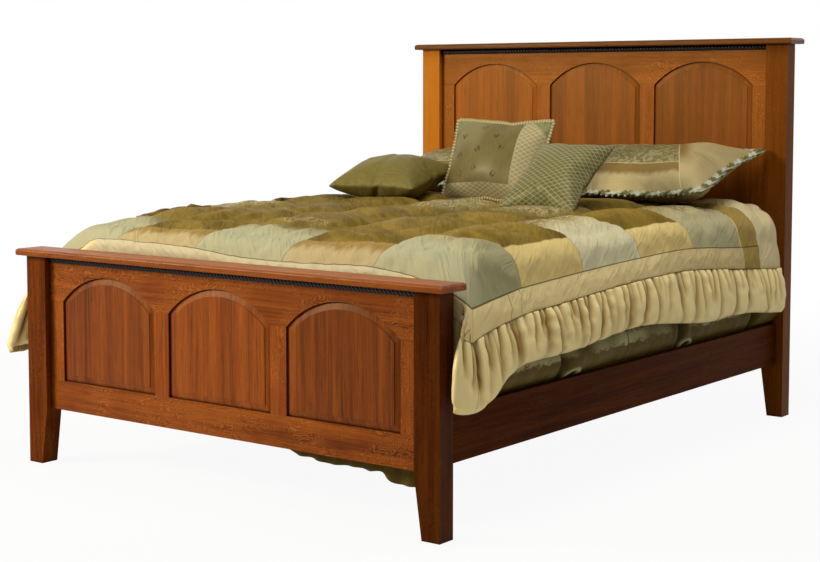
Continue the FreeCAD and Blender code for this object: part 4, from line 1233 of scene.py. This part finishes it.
def skirtTail():  # the loose end that hangs below the footboard by the right leg
    k = tailShape
    keys, edge = zip(*tailEdge)
    x = np.linspace(keys[-1], keys[0], k["columns"])[None, :]
    v = np.linspace(0, 1, k["rows"])[:, None]
    z = k["top"] + (through(keys, edge, x[0])[None, :] - k["top"]) * v
    y = k["back"] - 0.010 * v ** 2 - 0.005 * np.sin(x * 95 + 2 * v) * (0.2 + 0.8 * v)
    y = y - 0.004 * lumps(x, v * 0.1, 0.05, 73) * v
    piece = newPiece("bed_skirt_tail", stacked(x, y, z), gridFaces(k["rows"], k["columns"]))
    mark(piece, "cloth", stacked(x, z, 0.0))
    mark(piece, "shade", stacked(0 * z, 0.9, 0.0))
    return piece


def skirtFinish():
    f = Finish("skirtSatin")
    cloth = f.marked("cloth")
    run = f.axes(cloth)[0]
    streak = f.drawn(cloth, 70.0, 12.0, 3.0, 0.6, 0.8)
    crush = f.drawn(cloth, 11.0, 9.0, 3.0, 0.55, 1.2)
    seam = f.fade(abs(run - skirt["seam"]), 0.0012, 0.004)
    sunk, level, loopLightAndShade = f.axes(f.marked("shade"))
    colour = f.mix(streak, paint(88, 73, 31), paint(108, 91, 43))
    jagged = f.drawn(cloth, 30.0, 60.0, 3.0, 0.6, 0.8) * 0.35
    pale = f.ease(level + jagged, 0.40, 0.52) * f.fade(level + jagged, 0.66, 0.76)
    broad = f.ease(f.drawn(cloth, 3.2, 1.0, 1.0), 0.38, 0.55)
    colour = f.mix(pale * broad * 0.85, colour, paint(196, 190, 138))  # painted sheen: pale highlight patches along the upper belly of the puff
    # painted shade in the tucks
    colour = f.mix(sunk * 0.75, colour, paint(34, 28, 12))
    colour = f.mix(seam * 0.8, colour, paint(24, 19, 8))
    # painted highlight on each loop's rim and painted shadow in its hole
    colour = f.mix(loopLightAndShade.top(0.0), colour, paint(206, 198, 146))
    colour = f.mix((0 - loopLightAndShade).top(0.0) * 0.9, colour, paint(26, 21, 9))
    return satin(f, colour, crush + streak * 0.06 - seam * 0.3, 0.5, 0.009, 0.4 + streak * 0.1, 0.0, 0.02)


skirtSatin = skirtFinish()
valance = skirtPiece()
tail = skirtTail()
for piece in (valance, tail):
    coat(piece, skirtSatin)
    thicken(piece, skirt["thick"])
    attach(piece, "box_spring")
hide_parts("bed_skirt")
print("bed skirt")


bases = {
    "mattress": {"round": 0.085, "edge": 0.06, "tape": 0.006, "slot": "mattress_ticking"},
    "box_spring": {"round": 0.05, "edge": 0.012, "tape": 0.004, "slot": "box_spring_ticking"},
}
tapeRounds = 8


def outline(low, high, inset, rounding, count=15):
    ring = []
    r = max(rounding - inset, 0.004)
    for n, (sx, sy) in enumerate(((1, 1), (-1, 1), (-1, -1), (1, -1))):
        cx = (high.x - inset - r) if sx > 0 else (low.x + inset + r)
        cy = (high.y - inset - r) if sy > 0 else (low.y + inset + r)
        for k in range(count):
            a = (n + k / (count - 1)) * math.pi / 2
            ring.append((cx + r * math.cos(a), cy + r * math.sin(a)))
    return ring


def slab(name, b):
    low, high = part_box(name)
    e = b["edge"]
    bend = [(e * (1 - math.sin(a)), e * (1 - math.cos(a))) for a in np.linspace(0, math.pi / 2, 7)]
    bend = [(0.5, 0.0), (0.25, 0.0)] + bend
    profile = [(inset, low.z + rise) for inset, rise in bend]
    profile += [(0.0, low.z + (high.z - low.z) * s) for s in (0.35, 0.5, 0.65)]
    profile += [(inset, high.z - rise) for inset, rise in reversed(bend)]
    places = []
    for inset, z in profile:
        ring = outline(low, high, inset, b["round"])
        places += [(x, y, z) for x, y in ring]
    around = len(ring)
    faces = gridFaces(len(profile), around, True)
    faces.append(list(range(around))[::-1])
    faces.append(list(range((len(profile) - 1) * around, len(profile) * around)))
    piece = newPiece(name + "_cover", places, faces)
    tapes = []
    for tag, z in (("lower", low.z + e * 0.8), ("upper", high.z - e * 0.8)):
        ring = np.array(outline(low, high, e * 0.15, b["round"]))
        middle = ring.mean(axis=0)
        straight = ring.max(axis=0) - middle - b["round"]
        out = ring - np.clip(ring, middle - straight, middle + straight)
        out /= np.maximum(np.linalg.norm(out, axis=1), 1e-6)[:, None]
        turn = np.arange(tapeRounds) * 2 * math.pi / tapeRounds
        wide = b["tape"] * np.cos(turn) * 0.8
        x, y = [ring[:, i, None] + out[:, i, None] * wide for i in range(2)]
        tube = stacked(x, y, z + b["tape"] * np.sin(turn))
        hoop = gridFaces(len(ring), tapeRounds, True, hoop=True)
        tapes.append(newPiece(name + "_" + tag + "_tape", tube, hoop))
    return piece, tapes


def tickingFinish(name, ground, stripe, quilted):
    f = Finish(name)
    place = f.position()
    x, y = f.axes(place)[:2]
    weave = f.noise(place, 900.0, 2.0, 0.5)
    lines = f.ease(abs((x / 0.024).fract() - 0.5), 0.36, 0.40)
    colour = f.mix(lines * 0.5, ground, stripe)
    colour = f.mix(weave * 0.2, colour, stripe)
    height = weave * 0.1
    if quilted:
        a = abs(((x + y) / 0.16).fract() - 0.5)
        b = abs(((x - y) / 0.16).fract() - 0.5)
        height = height - f.fade(0.5 - a.top(b), 0.0, 0.14) * 0.9
    return satin(f, colour, height, 0.5, 0.006, 0.7 + weave * 0.1, 0.0)


ticking = {
    "mattress": tickingFinish("mattressTicking", paint(224, 220, 208), paint(196, 198, 200), True),
    "box_spring": tickingFinish("boxSpringTicking", paint(206, 200, 186), paint(176, 172, 164), False),
}
for name, b in bases.items():
    cover, tapes = slab(name, b)
    for piece in [cover] + tapes:
        coat(piece, ticking[name])
        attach(piece, name)
    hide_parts(name)
print("mattress and box spring")
